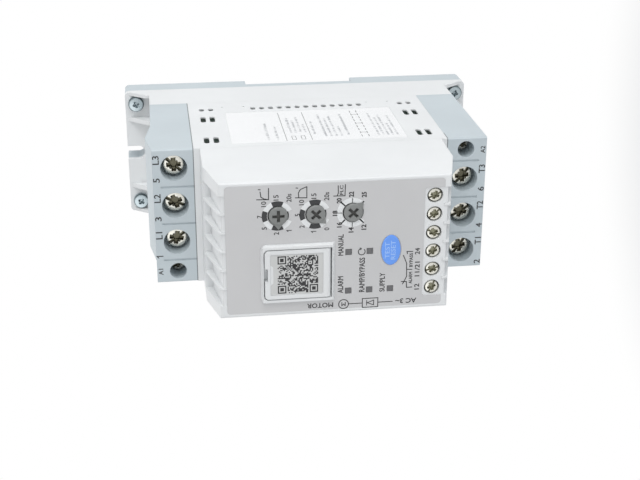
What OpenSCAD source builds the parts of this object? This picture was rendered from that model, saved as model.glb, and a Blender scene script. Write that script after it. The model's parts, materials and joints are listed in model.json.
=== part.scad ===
// Modular three-phase motor soft starter for rail or panel mounting.
// Every module is drawn with the device lying on its back: x to its right, y towards its line end,
// z from the rear plane towards the front. upright() then stands it up: front towards -Y, line end up.

/* [Housing] */
// Width of the whole device
body_w = 45; // [44:0.5:54]
// Height of the middle housing between the two terminal blocks
housing_h = 80.5; // [79:0.5:100]
// Depth of the grey rear plate
rear_depth = 7.6; // [7:0.1:12]
// Depth of the base tray
base_depth = 18.4; // [16:0.1:30]
// Depth of the middle housing
mid_depth = 49.2; // [46:0.1:70]
// Depth of the front cover above the middle housing
cover_depth = 30.3; // [29:0.1:40]
// Wall of the moulded shells
wall = 2; // [1.6:0.1:2.4]

/* [Flange] */
// How far the mounting flange stands out beyond a terminal block
flange_run = 8.55; // [8:0.05:14]
// Floor of the tray, which is also the flange's web
flange_floor = 2.2; // [1.6:0.1:3]
// Radius of the flange's corners
flange_corner_r = 1.5; // [1:0.5:3]
// Thickness of the rims along the flange's sides
rim_t = 1.2; // [1:0.1:1.3]
// Height of the rims above the flange's web, where they leave the block
rim_h = 4.6; // [2:0.1:7]
// Distance of a gusset from the flange screw beside it
gusset_gap = 5.8; // [5:0.1:6.4]
// Thickness of a gusset
gusset_t = 1.6; // [1:0.1:2]
// Height of a gusset above the flange's web
gusset_h = 6.6; // [3:0.1:8]
// Width of the open panel slot
slot_w = 5; // [4.5:0.1:6]
// Depth of the panel slot from the end of the flange
slot_run = 6.2; // [5:0.1:7]
// Distance of a flange screw from the side of the flange
flange_screw_side = 4.1; // [4:0.1:5]
// Distance of a flange screw from the end of the flange
flange_screw_in = 3.8; // [3.6:0.1:4.4]
// Head diameter of a flange screw
flange_screw_d = 5.5; // [5:0.1:6]

/* [Rail seat] */
// Width of the mounting rail
rail_w = 35; // [35:1:36]
// Thickness of the rail's edges
rail_edge = 1; // [1:0.1:1.5]
// Depth of the rail channel
channel_depth = 4.4; // [4.2:0.1:5]
// Travel of the sprung latch
latch_travel = 3; // [2.5:0.1:4]
// Width of the latch's guide
latch_w = 20; // [16:0.5:24]
// Length of the latch's guide
latch_len = 22; // [18:0.5:24]
// Free length of the latch spring's seat
spring_len = 7.5; // [7:0.1:8]

/* [Terminal blocks] */
// Height of a terminal block, from the housing to its outer end
block_h = 13; // [12.5:0.1:16]
// Width of the control terminal's cell; the main terminals share the rest of the width
control_cell = 7.8; // [7.4:0.1:8.4]
// Diameter of a main screw well
main_well_d = 8.4; // [8:0.1:9]
// Head diameter of a main screw
main_head_d = 7; // [6.5:0.1:7.4]
// Thread diameter of a main screw
main_thread_d = 4; // [3.5:0.1:4.5]
// Depth of a main screw's seat below the front of the block
main_seat = 6.2; // [5.6:0.1:7]
// Diameter of a control screw well
control_well_d = 5.4; // [5.2:0.1:5.8]
// Head diameter of a control screw
control_head_d = 4.6; // [4.2:0.1:5]
// Thread diameter of a control screw
control_thread_d = 3; // [2.6:0.1:3.2]
// Depth of a control screw's seat below the front of the block
control_seat = 8; // [7:0.1:9]
// How far the hood over the main wire entries stands out
hood_run = 1.9; // [1:0.1:3]
// Width of the grooves between the cells
groove_w = 0.6; // [0.4:0.1:1]
// Depth of the grooves between the cells
groove_d = 0.3; // [0.2:0.1:0.6]

/* [Front cover] */
// Set-back of the cover's end walls from the housing's ends
cover_ledge = 1.95; // [1.9:0.05:2.4]
// Further set-back of the front face's ends
front_setback = 3.5; // [3:0.05:5]
// Height at which the slanted ends begin, above the shoulder
slant_low = 15.8; // [14:0.1:16]
// Draft of each long side over the cover's depth
front_draft = 0.8; // [0.4:0.1:1]
// Margin of the grey film on the front face
film_margin = 2; // [1.6:0.1:2.4]
// Thickness of the film
film_t = 0.3; // [0.2:0.05:0.5]
// Chamfer of the front face's edges
front_chamfer = 0.5; // [0.2:0.1:0.8]

/* [Controls] */
// Position of the dials to the right of the middle
dial_x = 10.9; // [10:0.1:12]
// Height of the top dial above the middle
dial_top = 17.1; // [16:0.1:18]
// Pitch of the dials
dial_pitch = 11.15; // [10:0.05:12]
// Diameter of a dial
dial_d = 5.7; // [5:0.1:6.4]
// Height of a dial above the front face
dial_rise = 0.8; // [0.6:0.1:1]
// Reach of a dial's pointer from its axis
dial_nose = 4.3; // [3.8:0.1:4.6]
// Diameter of a dial's stem
dial_stem_d = 3; // [2.5:0.1:3.4]
// Column of the right-hand indicators and of the button
led_right_x = -1.85; // [-2.5:0.05:-1.5]
// Column of the left-hand indicators
led_left_x = -14.6; // [-15:0.05:-14]
// Height of the top row of indicators
led_top = -4; // [-4.5:0.1:-3.8]
// Pitch of the rows of indicators
led_pitch = 6.43; // [6:0.01:6.6]
// Width of an indicator's window
led_w = 1.8; // [1.5:0.1:2.2]
// Length of the oval button
button_l = 9.5; // [8:0.1:10]
// Width of the oval button
button_w = 5.75; // [5:0.05:6]
// Travel of the button
button_travel = 0.6; // [0.4:0.1:0.8]

/* [Hatch] */
// Middle of the hatch to the right of the device's middle
hatch_x = -7.85; // [-8.2:0.05:-7.6]
// Middle of the hatch above the device's middle
hatch_y = 11.4; // [11:0.1:12]
// Width of the hatch door
door_w = 15.9; // [14:0.1:16.4]
// Height of the hatch door
door_h = 20; // [18:0.1:20.5]
// Thickness of the hatch door
door_t = 1.5; // [1.2:0.1:1.8]
// Height of the hatch frame above the front face
hatch_raise = 1; // [0.8:0.1:1.4]
// Width of the hatch frame at its top
hatch_frame = 0.8; // [0.6:0.1:1]
// Diameter of the hinge pins
hinge_pin_d = 1; // [0.8:0.1:1.2]

/* [Relay terminals] */
// Number of relay terminals
relay_poles = 6; // [4:1:6]
// Gap between the relay terminals' strip and the cover's long walls
strip_margin = 1.5; // [1.2:0.1:1.8]
// Distance of the screws from the load end of the front face
relay_inset = 4.9; // [4.6:0.05:5.2]
// Diameter of a relay screw well
relay_well_d = 4.8; // [4.5:0.1:5]
// Head diameter of a relay screw
relay_head_d = 4.2; // [3.8:0.1:4.4]
// Thread diameter of a relay screw
relay_thread_d = 2.6; // [2:0.1:2.8]
// Thickness of the ribs between the wire pockets
pocket_rib = 0.8; // [0.6:0.1:1.2]

/* [Vents] */
// Pitch of the vents
vent_pitch = 3.05; // [2.8:0.05:3.2]
// Width of a vent
vent_w = 1.7; // [1.2:0.1:2]
// Length of a long vent
vent_l = 6; // [4:0.1:8]
// Length of a short vent
vent_short = 2.8; // [2.2:0.1:3.2]
// Number of short vents in the row near the base
vent_row = 13; // [9:2:15]
// Distance of a vent pair from the housing's end
vent_pair_in = 6.05; // [5.9:0.05:6.6]
// Thickness of the wall round the vents
vent_skin = 0.6; // [0.5:0.1:1]

/* [Hidden] */
$fn = 48;

// Colours
housing_white = [0.91, 0.925, 0.93];
terminal_grey = [0.70, 0.735, 0.75];
film_grey = [0.78, 0.78, 0.79];
dial_grey = [0.50, 0.51, 0.52];
button_blue = [0.36, 0.58, 0.95];
nickel = [0.74, 0.72, 0.66];
zinc = [0.66, 0.71, 0.74];
copper = [0.78, 0.48, 0.30];
aluminium = [0.77, 0.78, 0.79];
board_green = [0.10, 0.36, 0.22];
part_black = [0.12, 0.12, 0.13];
part_blue = [0.16, 0.30, 0.53];
part_pale = [0.86, 0.86, 0.82];
label_white = [0.95, 0.96, 0.97];
lens_clear = [0.35, 0.36, 0.38];

// Clearances
eps = 0.01;
slide_gap = 0.3;
run_gap = 0.05;
fit_gap = 0.1;
seat_gap = 0.3;

// Levels from the rear plane to the front
floor_z = rear_depth + flange_floor;
base_front = rear_depth + base_depth;
mid_front = base_front + mid_depth;
front = mid_front + cover_depth;
lid_under = front - wall;
slant_low_z = mid_front + slant_low;

// Half widths and half heights
half_w = body_w / 2;
front_half_w = half_w - front_draft;
cavity_half_w = front_half_w - wall;
housing_half = housing_h / 2;
block_end = housing_half + block_h;
flange_half = block_end + flange_run;
flange_len = 2 * flange_half;
cover_half = housing_half - cover_ledge;
front_half = cover_half - front_setback;

// The panel is laid out for this half width and half height, and follows the front face's size
layout_half_w = 21.7;
layout_half_h = 34.8;
layout_x = front_half_w / layout_half_w;
layout_y = front_half / layout_half_h;

// Flange
flange_screw_x = half_w - flange_screw_side;
flange_screw_y = flange_half - flange_screw_in;
gusset_x = flange_screw_x - gusset_gap;
flange_shank_d = 3;
flange_head_h = 2.1;
flange_shank_in = 2;
flange_bore_z = 1.2;
screw_recess_w = 0.8;
screw_recess_d = 1.1;
slot_centre_y = flange_half - slot_run + slot_w / 2;
rib_land = 1;
gusset_run = flange_run - rib_land;

// Rail seat
rail_play = 0.8;
rail_lift = 0.5;
channel_top = rail_w / 2 + rail_play;
channel_low = -rail_w / 2 - latch_travel;
hook_t = channel_depth - rail_edge - rail_lift;
hook_reach = 2;
hook_w = 7;
hook_x = 11;
latch_lip = 1.2;
latch_neck = 12;
latch_tail = channel_low - latch_len;
latch_end = latch_tail - spring_len;
latch_nose = 1.2;
latch_bevel = 1.4;
latch_key_w = 5;
latch_key_l = 2.6;
latch_key_in = 2;
spring_d = 2.6;
spring_wire = 0.45;
spring_turns = 5;
lightening_d = 3;
lightening_rib = 1.6;
lightening_in = 4;
lightening_cells = 4;

// Board stack
sink_t = 4.5;
sink_half_w = half_w - wall - seat_gap;
sink_end_gap = 4;
sink_half_l = block_end - wall - sink_end_gap;
fin_t = 1.2;
fin_pitch = 3.6;
fin_inner = 21;
fin_top = base_front - 1.6;
module_w = 26;
module_l = 17;
module_y = 9.5;
board_t = 1.6;
power_half_w = half_w - wall - seat_gap;
power_half_l = housing_half - wall - seat_gap;
power_top = base_front + board_t;
driver_x = cavity_half_w - seat_gap - board_t;
driver_end_gap = 2.8;
driver_up = 8.8;
driver_half_l = power_half_l - driver_end_gap;
driver_top = mid_front + driver_up;
control_down = 15.9;
control_top = front - control_down;
control_under = control_top - board_t;
control_half_w = cavity_half_w - seat_gap;
control_half_l = front_half - wall - seat_gap;
header_w = 5;
header_half_l = 9;
header_h = 8;
header_wall = 1.2;
header_top = 3;
signal_w = 10;
signal_l = 20;
signal_h = 10.5;
signal_gap = 2;
signal_y = -12;
post_d = 5;
post_peg_d = 2.4;
post_in = 3;
post_x = control_half_w - post_in;
post_y_line = control_half_l - post_in;

// Bays of the power board, between its left edge, the upright board and the busbar legs
leg_gap = 0.2;
bar_t = 1.2;
leg_y = power_half_l - leg_gap;
bay_half_l = leg_y - bar_t;
bay_w = driver_x + power_half_w;
bay_gap = 1;
bypass_half_l = bay_half_l * 0.4;
bypass_gap = 4.2;
bypass_w = (bay_w - 3 * bypass_gap) / 2;
bypass_h = 15.7;
end_bay = bay_half_l - bypass_half_l - 2 * bay_gap;
end_bay_y = bypass_half_l + bay_gap + end_bay / 2;
capacitor_d = 10;
capacitor_h = 20;
capacitor_vent_w = 0.5;
sensor_gap = 0.6;
sensor_w = (bay_w - capacitor_d - 4 * sensor_gap) / 2;
sensor_l = 8;
sensor_h = 13;
sensor_hole_d = 6;
varistor_d = 9;
varistor_t = 3.4;
varistor_pitch = 5;
varistor_in = 2;
transformer_gap = 2.4;
transformer_w = bay_w - varistor_d - 3 * transformer_gap;
transformer_h = 16;
bobbin_over = 1.5;
bobbin_in = 3;
bobbin_low = 4;

// Terminal cells
main_pitch = (body_w - control_cell) / 3;
main_xs = [for (i = [0:2]) half_w - main_pitch * (i + 0.5)];
control_x = -half_w + control_cell / 2;
cell_wall = 1;
control_cell_wall = 0.8;
terminal_shift = 0.25;
terminal_y = housing_half + block_h / 2 - terminal_shift;
main_seat_z = mid_front - main_seat;
control_seat_z = mid_front - control_seat;
seat_t = 2;
head_h = 2.6;
control_head_h = 2;
cage_wall = 1.2;
cage_top_t = 2.4;
cage_w = main_pitch - 2 * cell_wall - 2 * seat_gap;
cage_l = 8;
cage_h = 14;
cage_gap = 0.6;
cage_top = main_seat_z - seat_t - cage_gap;
bar_w = 6;
bar_gap = 1.2;
bar_top = cage_top - cage_top_t - bar_gap;
control_cage_wall = 0.7;
control_cage_w = control_cell - 2 * control_cell_wall - 2 * seat_gap;
control_cage_l = 5;
control_cage_h = 8.4;
control_cage_top = control_seat_z - seat_t - cage_gap;
control_cage_top_t = 1.6;
entry_lip = 0.6;
mark_margin = 2.4;
block_chamfer = 0.4;
hood_end = block_end + hood_run;
hood_low = 25.2;
hood_ridge = 12.2;

// Relay terminals
strip_end = 0.2;
strip_half_w = cavity_half_w - strip_margin;
relay_pitch = 2 * (strip_half_w - strip_end) / relay_poles;
relay_y = -front_half + relay_inset;
relay_xs = [for (i = [0:relay_poles - 1]) (relay_poles / 2 - 0.5 - i) * relay_pitch];
strip_y0 = -front_half + wall + fit_gap;
strip_run = 4.4;
strip_y1 = relay_y + strip_run;
relay_window_edge = 0.4;
relay_window_reach = 3.1;
strip_top = lid_under - fit_gap;
relay_head_h = 1.6;
clamp_wall = 0.35;
clamp_gap = 1;
clamp_lift = 0.7;
clamp_w = relay_pitch - clamp_gap;
clamp_z0 = control_top + clamp_lift;
clamp_h = 5.6;
clamp_top_t = 0.7;
clamp_l = 6;
entry_w = clamp_w - 2 * clamp_wall + 2 * fit_gap;
pocket_depth = 2.2;
pocket_top_in = 1;

// Film
film_side = film_margin - 0.8;
film_corner_r = 1;

// Controls
dial_cx = dial_x * layout_x;
dial_ys = [for (i = [0:2]) (dial_top - i * dial_pitch) * layout_y];
dial_h = 2.5;
dial_face = front + dial_rise;
dial_stem_z = control_top + 1.5;
dial_slot_w = 0.9;
dial_slot_l = 3.6;
dial_slot_d = 1.2;
dial_nose_w = 3;
pot_w = 7;
pot_h = 4.6;
led_right = led_right_x * layout_x;
led_left = led_left_x * layout_x;
led_ys = [for (i = [0:2]) (led_top - i * led_pitch) * layout_y];
led_points = [
    [led_right, led_ys[0]],
    [led_left, led_ys[0]],
    [led_right, led_ys[1]],
    [led_left, led_ys[1]],
    [led_left, led_ys[2]]
];
led_h = 0.8;
post_y_load = (led_ys[2] - led_w / 2 + strip_y1) / 2;
button_y = led_ys[2];
button_rise = 0.2;
button_rim = 0.8;
button_rim_t = 1;
button_stem_d = 3;
button_sides = 72;
switch_w = 6.2;
switch_h = 3.8;
switch_floor = 0.4;
socket_w = 8.4;
socket_l = 5.6;
socket_h = 5;
socket_wall = 0.9;
socket_floor = 1.2;

// Hatch
hatch_cx = hatch_x * layout_x;
hatch_cy = hatch_y * layout_y;
door_width = door_w * layout_x;
door_height = door_h * layout_y;
door_low = hatch_cy - door_height / 2;
door_top = hatch_cy + door_height / 2;
door_face = front + hatch_raise;
barrel_r = 1.2;
hinge_y = door_low + barrel_r;
hinge_z = door_face - barrel_r;
hinge_pin_l = 0.6;
frame_slope = 0.5;
frame_corner_r = 1.8;
frame_trim = 1;
frame_w = door_width + 2 * (slide_gap + hatch_frame + frame_slope);
frame_h = door_height + 2 * (slide_gap + hatch_frame + frame_slope) - frame_trim;
door_ledge = 1;
door_corner_r = 1.2;
well_wall = 1.2;
well_low = hinge_y + barrel_r + slide_gap + well_wall;
door_notch_w = 4.2;
door_notch_d = 0.9;
door_panel_side = 1.3;
door_panel_end = 1.7;
door_panel_d = 0.15;

// Vents
vent_pair_y = housing_half - vent_pair_in;
vent_low = 8.6;
vent_mid = 19.5;
vent_high = 7.7;
vent_relief = 0.6;
pip_d = 0.7;
pip_depth = 0.5;
pip_up = 6.1;
pip_ins = [5.5, 12.8];

// Side label
label_t = 0.15;
label_recess = 0.2;
label_gap = 3.75;
label_low_in = 12.7;
label_high_in = 3.1;
label_half_l = vent_pair_y - vent_pitch / 2 - vent_w / 2 - label_gap;
label_low = base_front + label_low_in;
label_high = mid_front - label_high_in;

// Stands the device up: its front towards -Y and its line end up
module upright() {
    rotate([90, 0, 0]) children();
}

// Box from one corner to the opposite one
module span(low, high) {
    translate(low) cube(high - low);
}

// Rectangle with round corners
module round_rect(w, h, r) {
    square([w - 2 * r, h], center = true);
    square([w, h - 2 * r], center = true);
    for (sx = [-1, 1], sy = [-1, 1]) {
        translate([sx * (w / 2 - r), sy * (h / 2 - r)]) circle(r);
    }
}

// Oval with round ends, its length along x
module oval(l, w) {
    square([l - w, w], center = true);
    for (sx = [-1, 1]) {
        translate([sx * (l - w) / 2, 0]) circle(w / 2);
    }
}

// Ellipse, its length along x
module ellipse(l, w) {
    polygon([
        for (i = [0:button_sides - 1])
            let (turn = i * 360 / button_sides) [l / 2 * cos(turn), w / 2 * sin(turn)]
    ]);
}

// Carries a profile drawn in y and z along x
module along_x(x0, x1) {
    translate([x0, 0, 0]) rotate([90, 0, 90]) linear_extrude(x1 - x0) children();
}

// Carries a profile drawn in x and z along y
module along_y(y0, y1) {
    translate([0, y1, 0]) rotate([90, 0, 0]) linear_extrude(y1 - y0) children();
}

// Repeats a part at the line end and, turned half round, at the load end
module both_ends() {
    for (turn = [0, 180]) {
        rotate([0, 0, turn]) children();
    }
}

// Places a part at each of the four flange screws
module at_flange_screws() {
    for (sx = [-1, 1], sy = [-1, 1]) {
        translate([sx * flange_screw_x, sy * flange_screw_y, 0]) children();
    }
}

// Open slot for a panel screw, at the line end
module panel_slot(depth) {
    translate([0, slot_centre_y, -eps]) cylinder(d = slot_w, h = depth + 2 * eps);
    span([-slot_w / 2, slot_centre_y, -eps], [slot_w / 2, flange_half + eps, depth + eps]);
}

// Guide of the sprung latch, open to the rail channel and to the rear
module latch_guide() {
    wide = latch_w / 2 + slide_gap;
    neck = latch_neck / 2 + slide_gap;
    span([-wide, latch_end, latch_lip], [wide, channel_low + eps, channel_depth]);
    span([-neck, latch_end, -eps], [neck, channel_low + eps, latch_lip + eps]);
}

// Shallow pockets between the ribs on the back of the rear plate
module lightening_pockets() {
    low = channel_top + lightening_in;
    high = block_end - lightening_in;
    cell = (body_w - 2 * lightening_rib) / lightening_cells;
    for (i = [0:lightening_cells - 1]) {
        x0 = -half_w + lightening_rib + i * cell + lightening_rib / 2;
        span([x0, low, -eps], [x0 + cell - lightening_rib, high, lightening_d]);
    }
}

module rear_plate() {
    color(terminal_grey) difference() {
        union() {
            difference() {
                linear_extrude(rear_depth) round_rect(body_w, flange_len, flange_corner_r);
                span([-half_w - 1, channel_low, -eps], [half_w + 1, channel_top, channel_depth]);
            }
            for (sx = [-1, 1]) {
                span(
                    [sx * hook_x - hook_w / 2, channel_top - hook_reach, 0],
                    [sx * hook_x + hook_w / 2, channel_top + 1, hook_t]
                );
            }
        }
        both_ends() panel_slot(rear_depth);
        latch_guide();
        lightening_pockets();
        at_flange_screws() translate([0, 0, flange_bore_z])
            cylinder(d = flange_shank_d, h = rear_depth);
    }
}

// Sprung latch that grips the rail's lower edge
module din_latch() {
    back = slide_gap;
    neck_half = latch_neck / 2;
    body_half = latch_w / 2;
    tip = -rail_w / 2 + latch_nose;
    slot_y = latch_tail + latch_key_in;
    color(part_black) difference() {
        union() {
            span(
                [-body_half, latch_tail, latch_lip + slide_gap],
                [body_half, channel_low, channel_depth - slide_gap]
            );
            along_x(-neck_half, neck_half) polygon([
                [latch_tail, back],
                [tip - latch_bevel, back],
                [tip, hook_t - 1],
                [tip, hook_t - slide_gap],
                [channel_low - 1, hook_t - slide_gap],
                [latch_tail, hook_t - slide_gap]
            ]);
        }
        span([-latch_key_w / 2, slot_y, -eps], [latch_key_w / 2, slot_y + latch_key_l, latch_lip + 1]);
    }
}

// Point of a coil: turns about y, stepped along it
function coil_point(turn, angle, r, wire, lead) = [
    (r + wire * cos(angle)) * cos(turn),
    lead * turn / 360 + wire * sin(angle),
    (r + wire * cos(angle)) * sin(turn)
];

// Compression spring behind the latch
module latch_spring() {
    sides = 6;
    steps = spring_turns * 12;
    r = spring_d / 2 - spring_wire / 2;
    free = spring_len - 2 * fit_gap - spring_wire;
    rings = [
        for (s = [0:steps], k = [0:sides - 1])
            coil_point(s * 30, k * 360 / sides, r, spring_wire / 2, free / spring_turns)
    ];
    walls = [
        for (s = [0:steps - 1], k = [0:sides - 1], half = [0, 1])
            let (a = s * sides + k, b = s * sides + (k + 1) % sides)
                half == 0 ? [a, b, b + sides] : [a, b + sides, a + sides]
    ];
    caps = [
        [for (k = [sides - 1:-1:0]) k],
        [for (k = [0:sides - 1]) steps * sides + k]
    ];
    color(zinc)
        translate([0, latch_end + fit_gap + spring_wire / 2, (latch_lip + channel_depth) / 2])
            polyhedron(rings, concat(walls, caps), convexity = 8);
}

// Rims and gussets of the line-end flange
module flange_ribs() {
    for (sx = [-1, 1]) {
        outer = sx > 0 ? half_w - rim_t : -half_w;
        along_x(outer, outer + rim_t) polygon([
            [block_end - eps, floor_z - eps],
            [flange_half - flange_corner_r, floor_z - eps],
            [block_end + rib_land, floor_z + rim_h],
            [block_end - eps, floor_z + rim_h]
        ]);
        along_x(sx * gusset_x - gusset_t / 2, sx * gusset_x + gusset_t / 2) polygon([
            [block_end - eps, floor_z - eps],
            [block_end + gusset_run, floor_z - eps],
            [block_end - eps, floor_z + gusset_h]
        ]);
    }
}

module base_tray() {
    color(housing_white) difference() {
        union() {
            translate([0, 0, rear_depth]) linear_extrude(flange_floor)
                round_rect(body_w, flange_len, flange_corner_r);
            span([-half_w, -block_end, rear_depth], [half_w, block_end, base_front]);
            both_ends() flange_ribs();
        }
        span(
            [-half_w + wall, -block_end + wall, floor_z],
            [half_w - wall, block_end - wall, base_front + 1]
        );
        both_ends() panel_slot(base_front);
        at_flange_screws() translate([0, 0, rear_depth - 1])
            cylinder(d = flange_shank_d + 2 * fit_gap, h = flange_floor + 2);
    }
}

// Pan head with a cross recess, standing on z = 0
module pan_head(d, h, slot_w, slot_d) {
    dome = h * 0.45;
    difference() {
        union() {
            cylinder(d = d, h = h - dome);
            translate([0, 0, h - dome]) cylinder(d1 = d, d2 = d * 0.72, h = dome);
        }
        for (turn = [0, 90]) {
            rotate([0, 0, turn]) translate([0, 0, h - slot_d / 2 + eps])
                cube([d * 0.62, slot_w, slot_d], center = true);
        }
    }
}

module flange_screws() {
    shank = flange_floor + rear_depth - flange_shank_in;
    color(zinc) at_flange_screws() translate([0, 0, floor_z]) {
        pan_head(flange_screw_d, flange_head_h, screw_recess_w, screw_recess_d);
        translate([0, 0, -shank]) cylinder(d = flange_shank_d - 2 * run_gap, h = shank + eps);
    }
}

// Finned plate that carries the switching modules
module heat_sink() {
    fins = floor((2 * sink_half_w - fin_t) / fin_pitch);
    color(aluminium) union() {
        span([-sink_half_w, -sink_half_l, floor_z], [sink_half_w, sink_half_l, floor_z + sink_t]);
        for (i = [0:fins], side = [-1, 1]) {
            x = (i - fins / 2) * fin_pitch;
            y0 = side > 0 ? fin_inner : -sink_half_l;
            span(
                [x - fin_t / 2, y0, floor_z + sink_t - eps],
                [x + fin_t / 2, y0 + sink_half_l - fin_inner, fin_top]
            );
        }
    }
}

module thyristor_modules() {
    low = floor_z + sink_t;
    color(part_black) for (sy = [-1, 1]) {
        span(
            [-module_w / 2, sy * module_y - module_l / 2, low],
            [module_w / 2, sy * module_y + module_l / 2, base_front]
        );
    }
}

module power_board() {
    color(board_green)
        span([-power_half_w, -power_half_l, base_front], [power_half_w, power_half_l, power_top]);
}

module bypass_relays() {
    color(part_black) for (i = [0:1]) {
        x0 = -power_half_w + bypass_gap + i * (bypass_w + bypass_gap);
        span([x0, -bypass_half_l, power_top], [x0 + bypass_w, bypass_half_l, power_top + bypass_h]);
    }
}

// Current sensors round two of the phase conductors
module current_transformers() {
    color(part_black) for (i = [0:1]) {
        x0 = -power_half_w + sensor_gap + i * (sensor_w + sensor_gap);
        translate([x0, end_bay_y - sensor_l / 2, power_top]) difference() {
            cube([sensor_w, sensor_l, sensor_h]);
            translate([sensor_w / 2, -1, sensor_h / 2]) rotate([-90, 0, 0])
                cylinder(d = sensor_hole_d, h = sensor_l + 2);
        }
    }
}

// Surge absorbers, standing discs with a moulded foot
module varistors() {
    x = driver_x - transformer_gap - varistor_d / 2;
    color(part_blue) for (i = [0:2]) {
        y0 = -bay_half_l + varistor_in + i * varistor_pitch;
        translate([x, y0, power_top]) along_y(0, varistor_t) union() {
            translate([0, varistor_d / 2]) circle(d = varistor_d);
            translate([-varistor_d / 4, 0]) square(varistor_d / 2);
        }
    }
}

module supply_capacitor() {
    x = driver_x - sensor_gap - capacitor_d / 2;
    color(part_black) translate([x, end_bay_y, power_top]) difference() {
        cylinder(d = capacitor_d, h = capacitor_h);
        for (turn = [0, 90]) {
            rotate([0, 0, turn]) translate([0, 0, capacitor_h])
                cube([capacitor_d * 0.7, capacitor_vent_w, capacitor_vent_w], center = true);
        }
    }
}

module supply_transformer() {
    x0 = -power_half_w + transformer_gap;
    y0 = -end_bay_y - end_bay / 2;
    y1 = -end_bay_y + end_bay / 2;
    color(part_black) union() {
        span(
            [x0, y0 + bobbin_over, power_top],
            [x0 + transformer_w, y1 - bobbin_over, power_top + transformer_h]
        );
        span(
            [x0 + bobbin_in, y0, power_top + bobbin_low],
            [x0 + transformer_w - bobbin_in, y1, power_top + transformer_h - bobbin_low]
        );
    }
}

// Copper strips from the line clamps down to the power board
module busbars() {
    color(copper) for (x = main_xs) {
        along_x(x - bar_w / 2, x + bar_w / 2) polygon([
            [terminal_y + cage_l / 2, bar_top],
            [terminal_y + cage_l / 2, bar_top - bar_t],
            [leg_y, bar_top - bar_t],
            [leg_y, power_top],
            [leg_y - bar_t, power_top],
            [leg_y - bar_t, bar_top]
        ]);
    }
}

module line_busbars() {
    busbars();
}

module load_busbars() {
    rotate([0, 0, 180]) busbars();
}

// Upright board along the right-hand wall, seen through the vents
module driver_board() {
    color(board_green)
        span([driver_x, -driver_half_l, power_top], [driver_x + board_t, driver_half_l, driver_top]);
}

// Plug connector between the upright board and the control board
module board_header() {
    x0 = driver_x - header_w;
    low = control_under - header_h;
    color(part_black) difference() {
        span([x0, -header_half_l, low], [driver_x, header_half_l, control_under]);
        span(
            [x0 + header_wall, -header_half_l + header_wall, low - 1],
            [driver_x - header_wall, header_half_l - header_wall, control_under - header_top]
        );
    }
}

// Vent with round ends through both long walls, relieved on the inside
module vent(y, z, length) {
    relief = [vent_w + 2 * vent_relief, length + 2 * vent_relief];
    along_x(-half_w - 1, half_w + 1) translate([y, z]) rotate(90) oval(length, vent_w);
    along_x(-half_w + vent_skin, half_w - vent_skin) translate([y, z]) square(relief, center = true);
}

module vents() {
    low_z = base_front + vent_low;
    mid_z = base_front + vent_mid;
    top_z = mid_front - vent_high;
    for (side = [-1, 1], step = [-0.5, 0.5]) {
        y = side * vent_pair_y + step * vent_pitch;
        vent(y, low_z, vent_short);
        vent(y, mid_z, vent_l);
        vent(y, top_z, vent_l);
    }
    for (i = [0:vent_row - 1]) {
        vent((i - (vent_row - 1) / 2) * vent_pitch, low_z, vent_short);
    }
}

// Small moulding marks on both long walls
module pips() {
    for (sx = [-1, 1], sy = [-1, 1], in = pip_ins) {
        translate([sx * half_w, sy * (vent_pair_y - in), base_front + pip_up]) rotate([0, 90, 0])
            cylinder(d = pip_d, h = 2 * pip_depth, center = true);
    }
}

module mid_housing() {
    color(housing_white) difference() {
        span([-half_w, -housing_half, base_front], [half_w, housing_half, mid_front]);
        span(
            [-half_w + wall, -housing_half + wall, base_front - 1],
            [half_w - wall, housing_half - wall, mid_front + 1]
        );
        vents();
        pips();
        both_ends() for (x = main_xs) {
            span(
                [x - bar_w / 2 - seat_gap, housing_half - wall - 1, bar_top - bar_t - seat_gap],
                [x + bar_w / 2 + seat_gap, housing_half + 1, bar_top + seat_gap]
            );
        }
        span([half_w - label_recess, -label_half_l, label_low], [half_w + 1, label_half_l, label_high]);
    }
}

module side_label() {
    color(label_white)
        translate([half_w - label_recess, 0, 0])
            span([0, -label_half_l, label_low], [label_t, label_half_l, label_high]);
}

// Form of a terminal block: a hood over the wire entries across, chamfered front edges along
module block_body() {
    intersection() {
        along_x(-half_w, half_w) polygon([
            [housing_half, base_front],
            [block_end, base_front],
            [block_end, mid_front - hood_low],
            [hood_end, mid_front - hood_ridge],
            [block_end, mid_front],
            [housing_half, mid_front]
        ]);
        along_y(housing_half - 1, hood_end + 1) polygon([
            [-half_w, base_front],
            [half_w, base_front],
            [half_w, mid_front - block_chamfer],
            [half_w - block_chamfer, mid_front],
            [-half_w + block_chamfer, mid_front],
            [-half_w, mid_front - block_chamfer]
        ]);
    }
}

// Room for one clamp: cavity, screw hole, well and wire entry
module clamp_room(x, w, seat_z, well_d, thread_d, cage_z, cage_height, entry) {
    low = cage_z - cage_height - seat_gap;
    span([x - w / 2, housing_half - 1, low], [x + w / 2, block_end - wall, seat_z - seat_t]);
    translate([x, terminal_y, seat_z - seat_t - 1]) cylinder(d = thread_d + 4 * fit_gap, h = seat_t + 2);
    translate([x, terminal_y, seat_z]) cylinder(d = well_d, h = mid_front - seat_z + 1);
    span([x - entry[0] / 2, block_end - wall - 1, entry[1]], [x + entry[0] / 2, hood_end + 1, entry[2]]);
}

main_entry = [
    cage_w - 2 * cage_wall + entry_lip,
    cage_top - cage_h + cage_wall - entry_lip / 2,
    bar_top - bar_t
];
control_entry = [
    control_cage_w - 2 * control_cage_wall + 2 * fit_gap,
    control_cage_top - control_cage_h + control_cage_wall,
    control_cage_top - control_cage_top_t
];

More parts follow.
